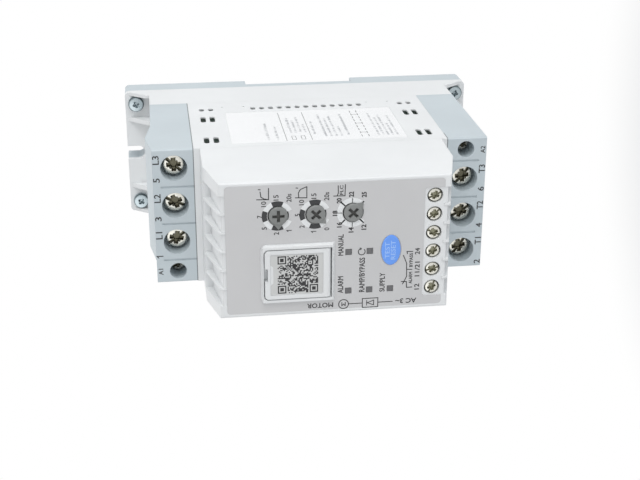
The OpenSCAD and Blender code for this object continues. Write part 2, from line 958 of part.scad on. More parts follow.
// Terminal block of the line end: three main cells and one control cell
module terminal_block() {
    edges = [for (i = [1:3]) half_w - main_pitch * i];
    hollow_top = cage_top - cage_h - seat_gap - wall;
    color(terminal_grey) difference() {
        block_body();
        for (x = main_xs) {
            clamp_room(
                x, main_pitch - 2 * cell_wall, main_seat_z, main_well_d, main_thread_d,
                cage_top, cage_h, main_entry
            );
        }
        clamp_room(
            control_x, control_cell - 2 * control_cell_wall, control_seat_z, control_well_d,
            control_thread_d, control_cage_top, control_cage_h, control_entry
        );
        span([-half_w - 1, block_end, base_front - 1], [edges[2], hood_end + 1, mid_front + 1]);
        for (x = edges) {
            span(
                [x - groove_w / 2, housing_half - 1, mid_front - groove_d],
                [x + groove_w / 2, block_end - mark_margin, mid_front + 1]
            );
        }
        span(
            [-half_w + wall, housing_half - 1, base_front + wall],
            [half_w - wall, block_end - wall, hollow_top]
        );
    }
}

module line_terminal_block() {
    terminal_block();
}

module load_terminal_block() {
    rotate([0, 0, 180]) terminal_block();
}

// Rising clamp: a square sleeve with a threaded top
module cage(w, l, h, side, top_t, thread_d) {
    difference() {
        translate([-w / 2, -l / 2, -h]) cube([w, l, h]);
        translate([-w / 2 + side, -l / 2 - 1, -h + side]) cube([w - 2 * side, l + 2, h - side - top_t]);
        translate([0, 0, -top_t - 1]) cylinder(d = thread_d, h = top_t + 2);
    }
}

module main_clamps() {
    color(zinc) for (x = main_xs) {
        translate([x, terminal_y, cage_top])
            cage(cage_w, cage_l, cage_h, cage_wall, cage_top_t, main_thread_d);
    }
}

module line_clamps() {
    main_clamps();
}

module load_clamps() {
    rotate([0, 0, 180]) main_clamps();
}

module control_clamps() {
    color(zinc) both_ends() translate([control_x, terminal_y, control_cage_top])
        cage(
            control_cage_w, control_cage_l, control_cage_h, control_cage_wall,
            control_cage_top_t, control_thread_d
        );
}

// Terminal screw: domed head with a cross and slot recess, seated at z = 0, and its shank
module terminal_screw(head_d, height, thread_d, shank) {
    pan_head(head_d, height, head_d * 0.17, height * 0.5);
    translate([0, 0, -shank]) cylinder(d = thread_d - 2 * run_gap, h = shank + eps);
}

module main_screws() {
    color(nickel) for (x = main_xs) {
        translate([x, terminal_y, main_seat_z])
            terminal_screw(main_head_d, head_h, main_thread_d, main_seat_z - bar_top);
    }
}

module line_screws() {
    main_screws();
}

module load_screws() {
    rotate([0, 0, 180]) main_screws();
}

module control_screws() {
    shank = control_seat_z - control_cage_top + control_cage_top_t;
    color(nickel) both_ends() translate([control_x, terminal_y, control_seat_z])
        terminal_screw(control_head_d, control_head_h, control_thread_d, shank);
}

// Outer form of the cover: slanted ends across, drafted sides along
module cover_body() {
    intersection() {
        along_x(-half_w, half_w) polygon([
            [-cover_half, mid_front],
            [cover_half, mid_front],
            [cover_half, slant_low_z],
            [front_half, front - front_chamfer],
            [front_half - front_chamfer, front],
            [-front_half + front_chamfer, front],
            [-front_half, front - front_chamfer],
            [-cover_half, slant_low_z]
        ]);
        along_y(-cover_half - 1, cover_half + 1) polygon([
            [-half_w, mid_front],
            [half_w, mid_front],
            [front_half_w, front - front_chamfer],
            [front_half_w - front_chamfer, front],
            [-front_half_w + front_chamfer, front],
            [-front_half_w, front - front_chamfer]
        ]);
    }
}

// Stepped room inside the cover
module cover_room() {
    span(
        [-cavity_half_w, -cover_half + wall, mid_front - 1],
        [cavity_half_w, cover_half - wall, slant_low_z - wall]
    );
    span(
        [-cavity_half_w, -front_half + wall, slant_low_z - wall - 1],
        [cavity_half_w, front_half - wall, lid_under]
    );
}

// Wire pockets between the ribs of a slanted end, running out as notches up to the film
module wire_pockets() {
    w = relay_pitch - pocket_rib;
    for (x = relay_xs) {
        along_x(x - w / 2, x + w / 2) polygon([
            [cover_half + 1, slant_low_z],
            [cover_half - pocket_depth, slant_low_z],
            [front_half - pocket_top_in, front - film_t],
            [front_half - film_margin - eps, front - film_t],
            [front_half - film_margin - eps, front + 1],
            [cover_half + 1, front + 1]
        ]);
    }
}

// Outline with round corners towards the line end and square ones at the hinge
module hinged_outline(w, h, r) {
    round_rect(w, h, r);
    translate([-w / 2, -h / 2]) square([w, h / 2]);
}

// Outline of the hatch frame, grown by a gap
module frame_outline(gap) {
    translate([hatch_cx, hatch_cy]) hinged_outline(frame_w + 2 * gap, frame_h + 2 * gap, frame_corner_r);
}

// Outline of the hatch door, grown by a gap
module door_outline(gap) {
    translate([0, hatch_cy])
        hinged_outline(door_width + 2 * gap, door_height + 2 * gap, door_corner_r + gap);
}

// Frame of the hatch: sloped on all four sides
module hatch_frame_body() {
    low = front - film_t - eps;
    half_top_w = frame_w / 2 - frame_slope;
    half_top_h = frame_h / 2 - frame_slope;
    intersection() {
        along_y(hatch_cy - frame_h, hatch_cy + frame_h) translate([hatch_cx, 0]) polygon([
            [-frame_w / 2, low],
            [frame_w / 2, low],
            [half_top_w, door_face],
            [-half_top_w, door_face]
        ]);
        along_x(hatch_cx - frame_w, hatch_cx + frame_w) translate([hatch_cy, 0]) polygon([
            [-frame_h / 2, low],
            [frame_h / 2, low],
            [half_top_h, door_face],
            [-half_top_h, door_face]
        ]);
        translate([0, 0, low - 1]) linear_extrude(door_face - low + 2) frame_outline(0);
    }
}

// Seat of the door, hinge trough, pin holes and the way in behind the door
module hatch_room() {
    seat_half_w = door_width / 2 + slide_gap;
    seat_z = door_face - door_t - slide_gap;
    trough_z = hinge_z - barrel_r - slide_gap;
    translate([hatch_cx, 0, 0]) {
        translate([0, 0, seat_z]) linear_extrude(door_face + 1 - seat_z) door_outline(slide_gap);
        span(
            [-seat_half_w, door_low - slide_gap, trough_z],
            [seat_half_w, well_low - well_wall, seat_z + eps]
        );
        translate([-seat_half_w - hinge_pin_l - fit_gap, hinge_y, hinge_z]) rotate([0, 90, 0])
            cylinder(d = hinge_pin_d + 2 * run_gap, h = 2 * (seat_half_w + hinge_pin_l + fit_gap));
        span(
            [-seat_half_w + door_ledge, well_low, control_top],
            [seat_half_w - door_ledge, door_top - door_ledge, door_face]
        );
    }
}

// Tube that closes the way in behind the hatch down to the control board, and the hinge trough's floor
module hatch_well() {
    half = door_width / 2 + slide_gap - door_ledge + well_wall;
    span(
        [hatch_cx - half, well_low - well_wall, control_top + seat_gap],
        [hatch_cx + half, door_top - door_ledge + well_wall, lid_under + eps]
    );
    span(
        [hatch_cx - half, door_low - slide_gap - well_wall, lid_under - well_wall],
        [hatch_cx + half, well_low, lid_under + eps]
    );
}

// Posts and pegs that hold the control board
module board_posts() {
    for (sx = [-1, 1], y = [post_y_line, post_y_load]) {
        translate([sx * post_x, y, control_top]) cylinder(d = post_d, h = lid_under - control_top + eps);
        translate([sx * post_x, y, control_under]) cylinder(d = post_peg_d, h = board_t + eps);
    }
}

// Outline of the film's recess, left open round the hatch frame
module film_outline() {
    difference() {
        round_rect(2 * (front_half_w - film_side), 2 * (front_half - film_margin), film_corner_r);
        frame_outline(fit_gap);
    }
}

// Window of the film round the relay screws, open to the load end
module relay_window() {
    half = relay_poles * relay_pitch / 2 - relay_window_edge;
    translate([0, relay_y - relay_window_reach]) round_rect(2 * half, 4 * relay_window_reach, 1);
}

// Holes through the front wall for the dials, indicators, button and relay screws
module front_holes(gap) {
    for (y = dial_ys) {
        translate([dial_cx, y]) circle(d = dial_d + 2 * slide_gap);
    }
    for (p = led_points) {
        translate(p) square(led_w + 2 * gap, center = true);
    }
    translate([led_right, button_y]) ellipse(button_l + 2 * slide_gap, button_w + 2 * slide_gap);
}

module front_cover() {
    color(housing_white) difference() {
        union() {
            difference() {
                cover_body();
                cover_room();
                both_ends() wire_pockets();
            }
            hatch_frame_body();
            hatch_well();
            board_posts();
        }
        translate([0, 0, front - film_t]) linear_extrude(film_t + eps) film_outline();
        translate([0, 0, lid_under - 1]) linear_extrude(wall + 2) front_holes(fit_gap);
        for (x = relay_xs) {
            translate([x, relay_y, lid_under - 1]) cylinder(d = relay_well_d, h = wall + 2);
            span(
                [x - entry_w / 2, -cover_half - 1, clamp_z0 + clamp_wall],
                [x + entry_w / 2, -front_half + wall + 1, clamp_z0 + clamp_h - clamp_top_t]
            );
        }
        hatch_room();
    }
}

module front_film() {
    color(film_grey) translate([0, 0, front - film_t]) linear_extrude(film_t) difference() {
        film_outline();
        relay_window();
        front_holes(fit_gap);
    }
}

module control_board() {
    color(board_green) difference() {
        span(
            [-control_half_w, -control_half_l, control_under],
            [control_half_w, control_half_l, control_top]
        );
        for (sx = [-1, 1], y = [post_y_line, post_y_load]) {
            translate([sx * post_x, y, control_under - 1])
                cylinder(d = post_peg_d + 2 * run_gap, h = board_t + 2);
        }
    }
}

module signal_relays() {
    color(part_pale) for (i = [0:1]) {
        x0 = -control_half_w + signal_gap + i * (signal_w + signal_gap);
        translate([x0, signal_y - signal_l / 2, control_under - signal_h])
            cube([signal_w, signal_l, signal_h]);
    }
}

// Trimmer bodies on the control board, bored for the dial stems
module potentiometers() {
    color(part_blue) for (y = dial_ys) {
        translate([dial_cx, y, control_top]) difference() {
            translate([-pot_w / 2, -pot_w / 2, 0]) cube([pot_w, pot_w, pot_h]);
            translate([0, 0, 1]) cylinder(d = dial_stem_d + 2 * run_gap, h = pot_h);
        }
    }
}

// Dial with a cross slot, a pointer over the film and a stem; turn is where the pointer points
module dial(index, turn) {
    nose_z = front + slide_gap;
    color(dial_grey) translate([dial_cx, dial_ys[index], 0]) rotate([0, 0, turn]) union() {
        difference() {
            union() {
                translate([0, 0, dial_face - dial_h]) cylinder(d = dial_d, h = dial_h);
                translate([0, 0, nose_z]) linear_extrude(dial_face - nose_z) polygon([
                    [0, -dial_nose_w / 2],
                    [dial_d / 3, -dial_nose_w / 2],
                    [dial_nose, 0],
                    [dial_d / 3, dial_nose_w / 2],
                    [0, dial_nose_w / 2]
                ]);
            }
            for (arm = [0, 90]) {
                rotate([0, 0, arm]) translate([0, 0, dial_face])
                    cube([dial_slot_l, dial_slot_w, 2 * dial_slot_d], center = true);
            }
        }
        translate([0, 0, dial_stem_z])
            cylinder(d = dial_stem_d, h = dial_face - dial_h - dial_stem_z + eps);
    }
}

module ramp_up_dial() {
    dial(0, 180);
}

module ramp_down_dial() {
    dial(1, 225);
}

module current_dial() {
    dial(2, -45);
}

// Push switch under the button, bored for its stem
module reset_switch() {
    color(part_black) translate([led_right, button_y, control_top]) difference() {
        translate([-switch_w / 2, -switch_w / 2, 0]) cube([switch_w, switch_w, switch_h]);
        translate([0, 0, switch_floor]) cylinder(d = button_stem_d + 2 * run_gap, h = switch_h);
    }
}

// Oval key with an inner rim and a stem into the switch
module test_button() {
    rim_top = lid_under - slide_gap;
    rim_low = rim_top - button_rim_t;
    stem_low = control_top + switch_floor + button_travel + slide_gap;
    color(button_blue) translate([led_right, button_y, 0]) union() {
        translate([0, 0, rim_low]) linear_extrude(front + button_rise - rim_low)
            ellipse(button_l, button_w);
        translate([0, 0, rim_low]) linear_extrude(button_rim_t)
            ellipse(button_l + 2 * button_rim, button_w + 2 * button_rim);
        translate([0, 0, stem_low]) cylinder(d = button_stem_d, h = rim_low - stem_low + eps);
    }
}

module status_leds() {
    color(part_pale) for (p = led_points) {
        translate([p[0] - led_w / 2, p[1] - led_w / 2, control_top]) cube([led_w, led_w, led_h]);
    }
}

// Clear rods from the indicators to the front
module light_pipes() {
    color(lens_clear) for (p = led_points) {
        translate([p[0] - led_w / 2, p[1] - led_w / 2, control_top + led_h])
            cube([led_w, led_w, front - control_top - led_h]);
    }
}

// Socket behind the hatch for setting up the device
module setup_socket() {
    inner_w = socket_w - 2 * socket_wall;
    inner_l = socket_l - 2 * socket_wall;
    color(part_black) translate([hatch_cx, hatch_cy, control_top]) difference() {
        translate([-socket_w / 2, -socket_l / 2, 0]) cube([socket_w, socket_l, socket_h]);
        translate([-inner_w / 2, -inner_l / 2, socket_floor]) cube([inner_w, inner_l, socket_h]);
    }
}

// Door with a round hinge edge, its pins and a finger notch
module hatch_door() {
    half = door_width / 2;
    color(housing_white) translate([hatch_cx, 0, 0]) difference() {
        union() {
            intersection() {
                span([-half, hinge_y, door_face - door_t], [half, door_top, door_face]);
                translate([0, 0, hinge_z]) linear_extrude(2 * door_t, center = true) door_outline(0);
            }
            translate([-half, hinge_y, hinge_z]) rotate([0, 90, 0]) cylinder(r = barrel_r, h = door_width);
            translate([-half - hinge_pin_l, hinge_y, hinge_z]) rotate([0, 90, 0])
                cylinder(d = hinge_pin_d, h = door_width + 2 * hinge_pin_l);
        }
        span(
            [-door_notch_w / 2, door_top - door_notch_d, door_face - door_t - 1],
            [door_notch_w / 2, door_top + 1, door_face + 1]
        );
        span(
            [-half + door_panel_side, hinge_y + barrel_r, door_face - door_panel_d],
            [half - door_panel_side, door_top - door_panel_end, door_face + 1]
        );
    }
}

// Moulded body of the relay terminals
module relay_terminal_strip() {
    room = clamp_w + 2 * fit_gap;
    color(part_black) difference() {
        span([-strip_half_w, strip_y0, control_top], [strip_half_w, strip_y1, strip_top]);
        for (x = relay_xs) {
            span(
                [x - room / 2, strip_y0 - 1, clamp_z0 - fit_gap],
                [x + room / 2, strip_y0 + clamp_l + 2 * fit_gap, clamp_z0 + clamp_h + fit_gap]
            );
            translate([x, relay_y, control_top + 1])
                cylinder(d = relay_thread_d + 2 * fit_gap, h = strip_top);
        }
    }
}

module relay_clamps() {
    color(zinc) for (x = relay_xs) {
        translate([x, strip_y0 + fit_gap + clamp_l / 2, clamp_z0 + clamp_h]) difference() {
            translate([-clamp_w / 2, -clamp_l / 2, -clamp_h]) cube([clamp_w, clamp_l, clamp_h]);
            translate([-clamp_w / 2 + clamp_wall, -clamp_l / 2 - 1, -clamp_h + clamp_wall])
                cube([clamp_w - 2 * clamp_wall, clamp_l + 2, clamp_h - clamp_wall - clamp_top_t]);
            translate([0, relay_y - strip_y0 - fit_gap - clamp_l / 2, -clamp_top_t - 1])
                cylinder(d = relay_thread_d, h = clamp_top_t + 2);
        }
    }
}

module relay_screws() {
    shank = strip_top - clamp_z0 - clamp_h + clamp_top_t;
    color(nickel) for (x = relay_xs) {
        translate([x, relay_y, strip_top])
            terminal_screw(relay_head_d, relay_head_h, relay_thread_d, shank);
    }
}

upright() rear_plate();
upright() din_latch();
upright() latch_spring();
upright() base_tray();
upright() flange_screws();
upright() heat_sink();
upright() thyristor_modules();
upright() power_board();
upright() bypass_relays();
upright() current_transformers();
upright() varistors();
upright() supply_capacitor();
upright() supply_transformer();
upright() line_busbars();
upright() load_busbars();
upright() driver_board();
upright() board_header();
upright() mid_housing();
upright() side_label();
upright() line_terminal_block();
upright() load_terminal_block();
upright() line_clamps();
upright() load_clamps();
upright() control_clamps();
upright() line_screws();
upright() load_screws();
upright() control_screws();
upright() front_cover();
upright() front_film();
upright() control_board();
upright() signal_relays();
upright() potentiometers();
upright() ramp_up_dial();
upright() ramp_down_dial();
upright() current_dial();
upright() reset_switch();
upright() test_button();
upright() status_leds();
upright() light_pipes();
upright() setup_socket();
upright() hatch_door();
upright() relay_terminal_strip();
upright() relay_clamps();
upright() relay_screws();
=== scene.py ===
"""Looks of a modular motor soft starter: finishes, screw heads, key, pins and printed marks on its solids.

Sizes are in millimetres until a mesh is made. On a flat face, u runs to the device's right, v up
and w out of the face.
"""

import json
import math

import bmesh
import bpy
import numpy as np
from mathutils import Matrix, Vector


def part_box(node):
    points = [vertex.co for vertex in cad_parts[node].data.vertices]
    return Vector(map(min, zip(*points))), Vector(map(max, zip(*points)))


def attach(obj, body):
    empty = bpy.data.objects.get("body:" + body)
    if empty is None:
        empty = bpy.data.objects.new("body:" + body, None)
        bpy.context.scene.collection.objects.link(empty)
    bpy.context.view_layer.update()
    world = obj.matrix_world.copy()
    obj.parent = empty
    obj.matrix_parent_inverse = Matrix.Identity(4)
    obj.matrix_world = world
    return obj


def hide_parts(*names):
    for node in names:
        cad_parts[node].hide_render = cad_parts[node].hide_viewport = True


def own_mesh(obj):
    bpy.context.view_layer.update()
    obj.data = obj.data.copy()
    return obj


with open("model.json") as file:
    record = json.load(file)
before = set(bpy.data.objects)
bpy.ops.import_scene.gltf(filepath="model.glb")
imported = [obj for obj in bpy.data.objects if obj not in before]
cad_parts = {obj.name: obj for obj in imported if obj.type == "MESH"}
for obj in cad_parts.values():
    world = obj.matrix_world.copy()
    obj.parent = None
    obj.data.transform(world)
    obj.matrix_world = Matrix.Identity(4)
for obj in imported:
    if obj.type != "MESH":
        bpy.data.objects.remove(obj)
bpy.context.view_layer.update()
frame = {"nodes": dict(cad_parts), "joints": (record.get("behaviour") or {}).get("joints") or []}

mm = 0.001
shade_fade = 0.3
ink_lift = 0.004
ink_thick = 0.02


def box_mm(node):
    """Lowest and highest corner of a CAD node at rest, in millimetres."""
    low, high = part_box(node)
    return np.asarray(low) / mm, np.asarray(high) / mm


def front_of(node):
    """Level of a node's front above the rear plane."""
    return -box_mm(node)[0][1]


def joint_named(name):
    """What the frame says of a joint."""
    return next(joint for joint in frame["joints"] if joint["name"] == name)


def joint_place(name):
    """u and v of a joint's axis on the front face."""
    place = joint_named(name)["pos_m"]
    return np.array([place[0], place[2]]) / mm


front_level = front_of("front_film")


# Shader helpers

def linear(rgb):
    """Turns 0-255 screen colours into linear light: below 0.04045 a straight line, above it a 2.4 power."""
    c = np.asarray(rgb, float) / 255
    c = np.where(c <= 0.04045, c / 12.92, ((c + 0.055) / 1.055) ** 2.4)
    return (*c.tolist(), 1.0)


def add_node(tree, kind, **values):
    """Adds a shader node and sets its settings, or its inputs where the name is an input's."""
    node = tree.nodes.new("ShaderNode" + kind)
    for name, value in values.items():
        if name in node.inputs:
            node.inputs[name].default_value = value
        else:
            setattr(node, name, value)
    return node


def wire(tree, runs):
    """Links outputs to inputs: each run is a node, its output, the next node and that one's input."""
    for source, output, target, entry in runs:
        tree.links.new(source.outputs[output], target.inputs[entry])


def add_range(tree, low, high):
    """Adds a node that maps low to high onto its To Min and To Max, 0 to 1 unless they are set."""
    return add_node(tree, "MapRange", **{"From Min": low, "From Max": high})


def new_skin(name, colours, numbers):
    """Starts a shader group that takes named colours and numbers and gives colour, roughness and height.
    Returns its tree and two end nodes."""
    tree = bpy.data.node_groups.new(name, "ShaderNodeTree")
    for side, kind, labels in (
        ("INPUT", "Color", colours), ("INPUT", "Float", numbers),
        ("OUTPUT", "Color", ("Color",)), ("OUTPUT", "Float", ("Roughness", "Height")),
    ):
        for label in labels:
            tree.interface.new_socket(name=label, in_out=side, socket_type="NodeSocket" + kind)
    return tree, tree.nodes.new("NodeGroupInput"), tree.nodes.new("NodeGroupOutput")


def make_moulded_skin():
    """Moulded plastic: slow clouds shift the tone, spark-eroded grain gives height and gloss, and the tone
    goes over to a painted shade colour where the recess mask is set."""
    tree, start, end = new_skin(
        "moulded_skin", ("Tone", "Shade", "Hollow Shade"),
        ("Cloud Scale", "Grain Scale", "Gloss Low", "Gloss High"))
    place = add_node(tree, "TexCoord")
    cloud = add_node(tree, "TexNoise", Detail=3.0, Roughness=0.55)
    grain = add_node(tree, "TexNoise", Detail=2.0, Roughness=0.6)
    spread = add_range(tree, 0.3, 0.7)
    tone = add_node(tree, "Mix", data_type="RGBA")
    recess = add_node(tree, "Attribute", attribute_name="recess")
    sunk = add_node(tree, "Mix", data_type="RGBA")
    gloss = add_range(tree, 0.25, 0.75)
    wire(tree, (
        (place, "Object", cloud, "Vector"), (place, "Object", grain, "Vector"),
        (start, "Cloud Scale", cloud, "Scale"), (start, "Grain Scale", grain, "Scale"),
        (cloud, "Fac", spread, "Value"), (spread, "Result", tone, "Factor"),
        (start, "Tone", tone, "A"), (start, "Shade", tone, "B"),
        (grain, "Fac", gloss, "Value"), (start, "Gloss Low", gloss, "To Min"),
        (start, "Gloss High", gloss, "To Max"), (recess, "Fac", sunk, "Factor"),
        (tone, "Result", sunk, "A"), (start, "Hollow Shade", sunk, "B"),
        (sunk, "Result", end, "Color"), (gloss, "Result", end, "Roughness"),
        (grain, "Fac", end, "Height"),
    ))
    return tree


def make_plated_metal():
    """Plated metal: fine scratches and clouds in tone and gloss, darkened with a painted shade colour where
    the recess mask is set.
    """
    tree, start, end = new_skin(
        "plated_metal", ("Tone", "Shade", "Recess Shade"), ("Scratch Scale", "Gloss Low", "Gloss High"))
    place = add_node(tree, "TexCoord")
    cloud = add_node(tree, "TexNoise", Scale=350.0, Detail=4.0, Roughness=0.6)
    scratch = add_node(tree, "TexNoise", Detail=5.0, Roughness=0.7)
    stretch = add_node(tree, "Mapping", Scale=(1.0, 1.0, 6.0))
    tone = add_node(tree, "Mix", data_type="RGBA")
    recess = add_node(tree, "Attribute", attribute_name="recess")
    ragged = add_node(tree, "Math", operation="MULTIPLY_ADD")
    ragged.inputs[1].default_value = 0.5
    ragged.inputs[2].default_value = -0.25
    mask = add_node(tree, "Math", operation="ADD")
    mask_edge = add_range(tree, 0.2, 0.8)
    shaded = add_node(tree, "Mix", data_type="RGBA")
    gloss = add_range(tree, 0.3, 0.7)
    matt = add_node(tree, "Math", operation="MULTIPLY_ADD", use_clamp=True)
    matt.inputs[1].default_value = 0.2
    wire(tree, (
        (place, "Object", cloud, "Vector"), (place, "Object", stretch, "Vector"),
        (stretch, "Vector", scratch, "Vector"), (start, "Scratch Scale", scratch, "Scale"),
        (cloud, "Fac", tone, "Factor"), (start, "Tone", tone, "A"),
        (start, "Shade", tone, "B"), (cloud, "Fac", ragged, 0),
        (recess, "Fac", mask, 0), (ragged, "Value", mask, 1),
        (mask, "Value", mask_edge, "Value"), (mask_edge, "Result", shaded, "Factor"),
        (tone, "Result", shaded, "A"), (start, "Recess Shade", shaded, "B"),
        (scratch, "Fac", gloss, "Value"), (start, "Gloss Low", gloss, "To Min"),
        (start, "Gloss High", gloss, "To Max"), (mask_edge, "Result", matt, 0),
        (gloss, "Result", matt, 2), (shaded, "Result", end, "Color"),
        (matt, "Value", end, "Roughness"), (scratch, "Fac", end, "Height"),
    ))
    return tree


moulded_skin = make_moulded_skin()
plated_metal = make_plated_metal()
grain_depth, grain_strength = 0.03, 0.12
scratch_depth, scratch_strength = 0.02, 0.1
scratch_scale = 900.0


def new_finish(name, skin, values, depth, strength, edge=0.0, metallic=0.0):
    """A material: a skin group drives colour, gloss and bump; edge is the radius that softens sharp edges."""
    material = bpy.data.materials.new(name)
    material.use_nodes = True
    tree = material.node_tree
    shader = tree.nodes["Principled BSDF"]
    shader.inputs["Metallic"].default_value = metallic
    group = add_node(tree, "Group", node_tree=skin, **values)
    bump = add_node(tree, "Bump", Distance=depth * mm, Strength=strength)
    wire(tree, (
        (group, "Color", shader, "Base Color"), (group, "Roughness", shader, "Roughness"),
        (group, "Height", bump, "Height"), (bump, "Normal", shader, "Normal"),
    ))
    if edge:
        bevel = add_node(tree, "Bevel", samples=6, Radius=edge * mm)
        wire(tree, ((bevel, "Normal", bump, "Normal"),))
    return material


def plastic(name, tone, shade, gloss=(0.38, 0.52), cloud=45.0, grain=5200.0, edge=0.0, hollow_shade=(60, 60, 60)):
    """Moulded plastic in two close tones, with painted shade in its hollows."""
    values = {"Tone": linear(tone), "Shade": linear(shade), "Hollow Shade": linear(hollow_shade), "Cloud Scale": cloud,
              "Grain Scale": grain, "Gloss Low": gloss[0], "Gloss High": gloss[1]}
    return new_finish(name, moulded_skin, values, grain_depth, grain_strength, edge)


def ink(name, tone, shade):
    """Printed ink in two close tones."""
    return plastic(name, tone, shade, gloss=(0.4, 0.55), cloud=1200.0)


def metal(name, tone, shade, recess_shade_tone, gloss=(0.2, 0.42)):
    """Bare or plated metal in two close tones, with painted shade in its recesses."""
    values = {"Tone": linear(tone), "Shade": linear(shade), "Recess Shade": linear(recess_shade_tone),
              "Scratch Scale": scratch_scale, "Gloss Low": gloss[0], "Gloss High": gloss[1]}
    return new_finish(name, plated_metal, values, scratch_depth, scratch_strength, metallic=1.0)


def shade_inside(material, low, high, tone):
    """Paints shade into a material inside a box, given in millimetres on Object coordinates: the least
    distance to the box's sides, where it is above 0, mixes the dark tone into the colour."""
    tree = material.node_tree
    shader = tree.nodes["Principled BSDF"]
    low, high = np.asarray(low) * mm, np.asarray(high) * mm
    place = add_node(tree, "TexCoord")
    centre = add_node(tree, "VectorMath", operation="SUBTRACT")
    centre.inputs[1].default_value = (low + high) / 2
    size = add_node(tree, "VectorMath", operation="ABSOLUTE")
    room = add_node(tree, "VectorMath", operation="SUBTRACT")
    room.inputs[0].default_value = (high - low) / 2
    sides = add_node(tree, "SeparateXYZ")
    first = add_node(tree, "Math", operation="MINIMUM")
    second = add_node(tree, "Math", operation="MINIMUM")
    inside = add_range(tree, 0.0, shade_fade * mm)
    dark = add_node(tree, "Mix", data_type="RGBA", B=linear(tone))
    tree.links.new(shader.inputs["Base Color"].links[0].from_socket, dark.inputs["A"])
    wire(tree, (
        (place, "Object", centre, 0), (centre, "Vector", size, 0),
        (size, "Vector", room, 1), (room, "Vector", sides, "Vector"),
        (sides, "X", first, 0), (sides, "Y", first, 1),
        (first, "Value", second, 0), (sides, "Z", second, 1),
        (second, "Value", inside, "Value"), (inside, "Result", dark, "Factor"),
        (dark, "Result", shader, "Base Color"),
    ))
    return material


# Finishes

housing_tones = ((231, 233, 234), (226, 228, 229))
housing_edge = 0.35
housing_white = plastic("housing_white", *housing_tones, edge=housing_edge)
terminal_grey = plastic("terminal_grey", (197, 207, 212), (191, 201, 206), edge=0.18)
film_grey = plastic("film_grey", (205, 205, 206), (201, 201, 202), gloss=(0.3, 0.42), grain=9000.0, edge=0.1)
label_white = plastic("label_white", (240, 241, 242), (236, 237, 238), gloss=(0.22, 0.32), grain=7000.0)
door_grey = plastic("door_grey", (208, 209, 208), (204, 205, 204), gloss=(0.3, 0.42), grain=9000.0)
# The dial's hollow colour is painted shade in its pressed cross.
dial_grey = plastic("dial_grey", (136, 138, 137), (126, 128, 127), gloss=(0.35, 0.5), hollow_shade=(66, 66, 64))
button_blue = plastic("button_blue", (112, 166, 252), (105, 159, 248), gloss=(0.25, 0.38), edge=0.1)
lens_smoke = plastic("lens_smoke", (112, 112, 114), (98, 98, 100), gloss=(0.12, 0.25), cloud=900.0)
latch_black = plastic("latch_black", (44, 45, 47), (36, 37, 39), edge=0.25)
part_black = plastic("part_black", (40, 40, 42), (32, 32, 34), edge=0.2)
part_blue = plastic("part_blue", (46, 80, 138), (38, 68, 122), gloss=(0.3, 0.4), edge=0.2)
part_pale = plastic("part_pale", (222, 221, 212), (214, 213, 203), edge=0.2)
board_green = plastic("board_green", (22, 82, 52), (16, 66, 42), gloss=(0.2, 0.35), cloud=260.0, grain=2500.0)
# The third colour of each metal is painted shade in screw recesses and round screw rims.
nickel = metal("nickel", (225, 224, 217), (201, 199, 189), (108, 105, 90), gloss=(0.16, 0.34))
nickel_pale = metal("nickel_pale", (227, 226, 219), (205, 203, 192), (140, 139, 120), gloss=(0.16, 0.34))
zinc = metal("zinc", (184, 195, 199), (162, 174, 179), (88, 99, 103))
pin_gold = metal("pin_gold", (222, 186, 110), (200, 160, 86), (120, 92, 50))
spring_steel = metal("spring_steel", (150, 152, 156), (118, 120, 124), (60, 60, 62))
copper = metal("copper", (204, 138, 100), (178, 112, 78), (92, 60, 44))
sink_metal = metal("sink_metal", (188, 190, 192), (164, 166, 168), (96, 98, 100), gloss=(0.35, 0.55))
ink_black = ink("ink_black", (32, 32, 34), (42, 42, 44))
ink_dark = ink("ink_dark", (44, 45, 47), (54, 55, 57))
ink_grey = ink("ink_grey", (168, 170, 174), (182, 184, 187))
ink_pale = ink("ink_pale", (236, 238, 239), (228, 230, 231))
ink_sky = ink("ink_sky", (168, 204, 255), (156, 194, 252))


# Middle housing, with painted shade inside so that its vents are dark
middle_low, middle_high = box_mm("mid_housing")
middle_skin = 0.5
dark_from = -41.0
inside_shade_tone = (174, 188, 181)
middle_white = shade_inside(
    plastic("middle_white", *housing_tones, edge=housing_edge), middle_low + middle_skin,
    (middle_high[0] - middle_skin, dark_from, middle_high[2] - middle_skin), inside_shade_tone)

# Painted shade along the gaps where the terminal blocks meet the middle housing, over the whole depth at the
# line end
seam_reach = np.array([1.0, 1.0, 0.35])
seam_deep = 5.0
seam_shade_tone = (64, 70, 74)
for seam_v, seam_back in ((middle_low[2], middle_low[1] + seam_deep), (middle_high[2], middle_high[1])):
    shade_inside(terminal_grey, np.array([middle_low[0], middle_low[1], seam_v]) - seam_reach,
                 np.array([middle_high[0], seam_back, seam_v]) + seam_reach, seam_shade_tone)

finishes = (
    (housing_white, ("base_tray", "front_cover", "hatch_door")),
    (middle_white, ("mid_housing",)),
    (terminal_grey, ("rear_plate", "line_terminal_block", "load_terminal_block")),
    (film_grey, ("front_film",)),
    (label_white, ("side_label",)),
    (dial_grey, ("ramp_up_dial", "ramp_down_dial", "current_dial")),
    (button_blue, ("test_button",)),
    (lens_smoke, ("light_pipes",)),
    (latch_black, ("din_latch",)),
    (spring_steel, ("latch_spring",)),
    (zinc, ("flange_screws", "line_clamps", "load_clamps", "control_clamps", "relay_clamps")),
    (nickel, ("line_screws", "load_screws", "control_screws", "relay_screws")),
    (sink_metal, ("heat_sink",)),
    (copper, ("line_busbars", "load_busbars")),
    (board_green, ("power_board", "driver_board", "control_board")),
    (part_blue, ("varistors", "potentiometers")),
    (part_pale, ("signal_relays", "status_leds")),
    (part_black, (
        "thyristor_modules", "bypass_relays", "current_transformers", "supply_capacitor",
        "supply_transformer", "board_header", "reset_switch", "setup_socket", "relay_terminal_strip")),
)
for finish, node_names in finishes:
    for node_name in node_names:
        for material_slot in frame["nodes"][node_name].material_slots:
            material_slot.material = finish


# Mesh helpers

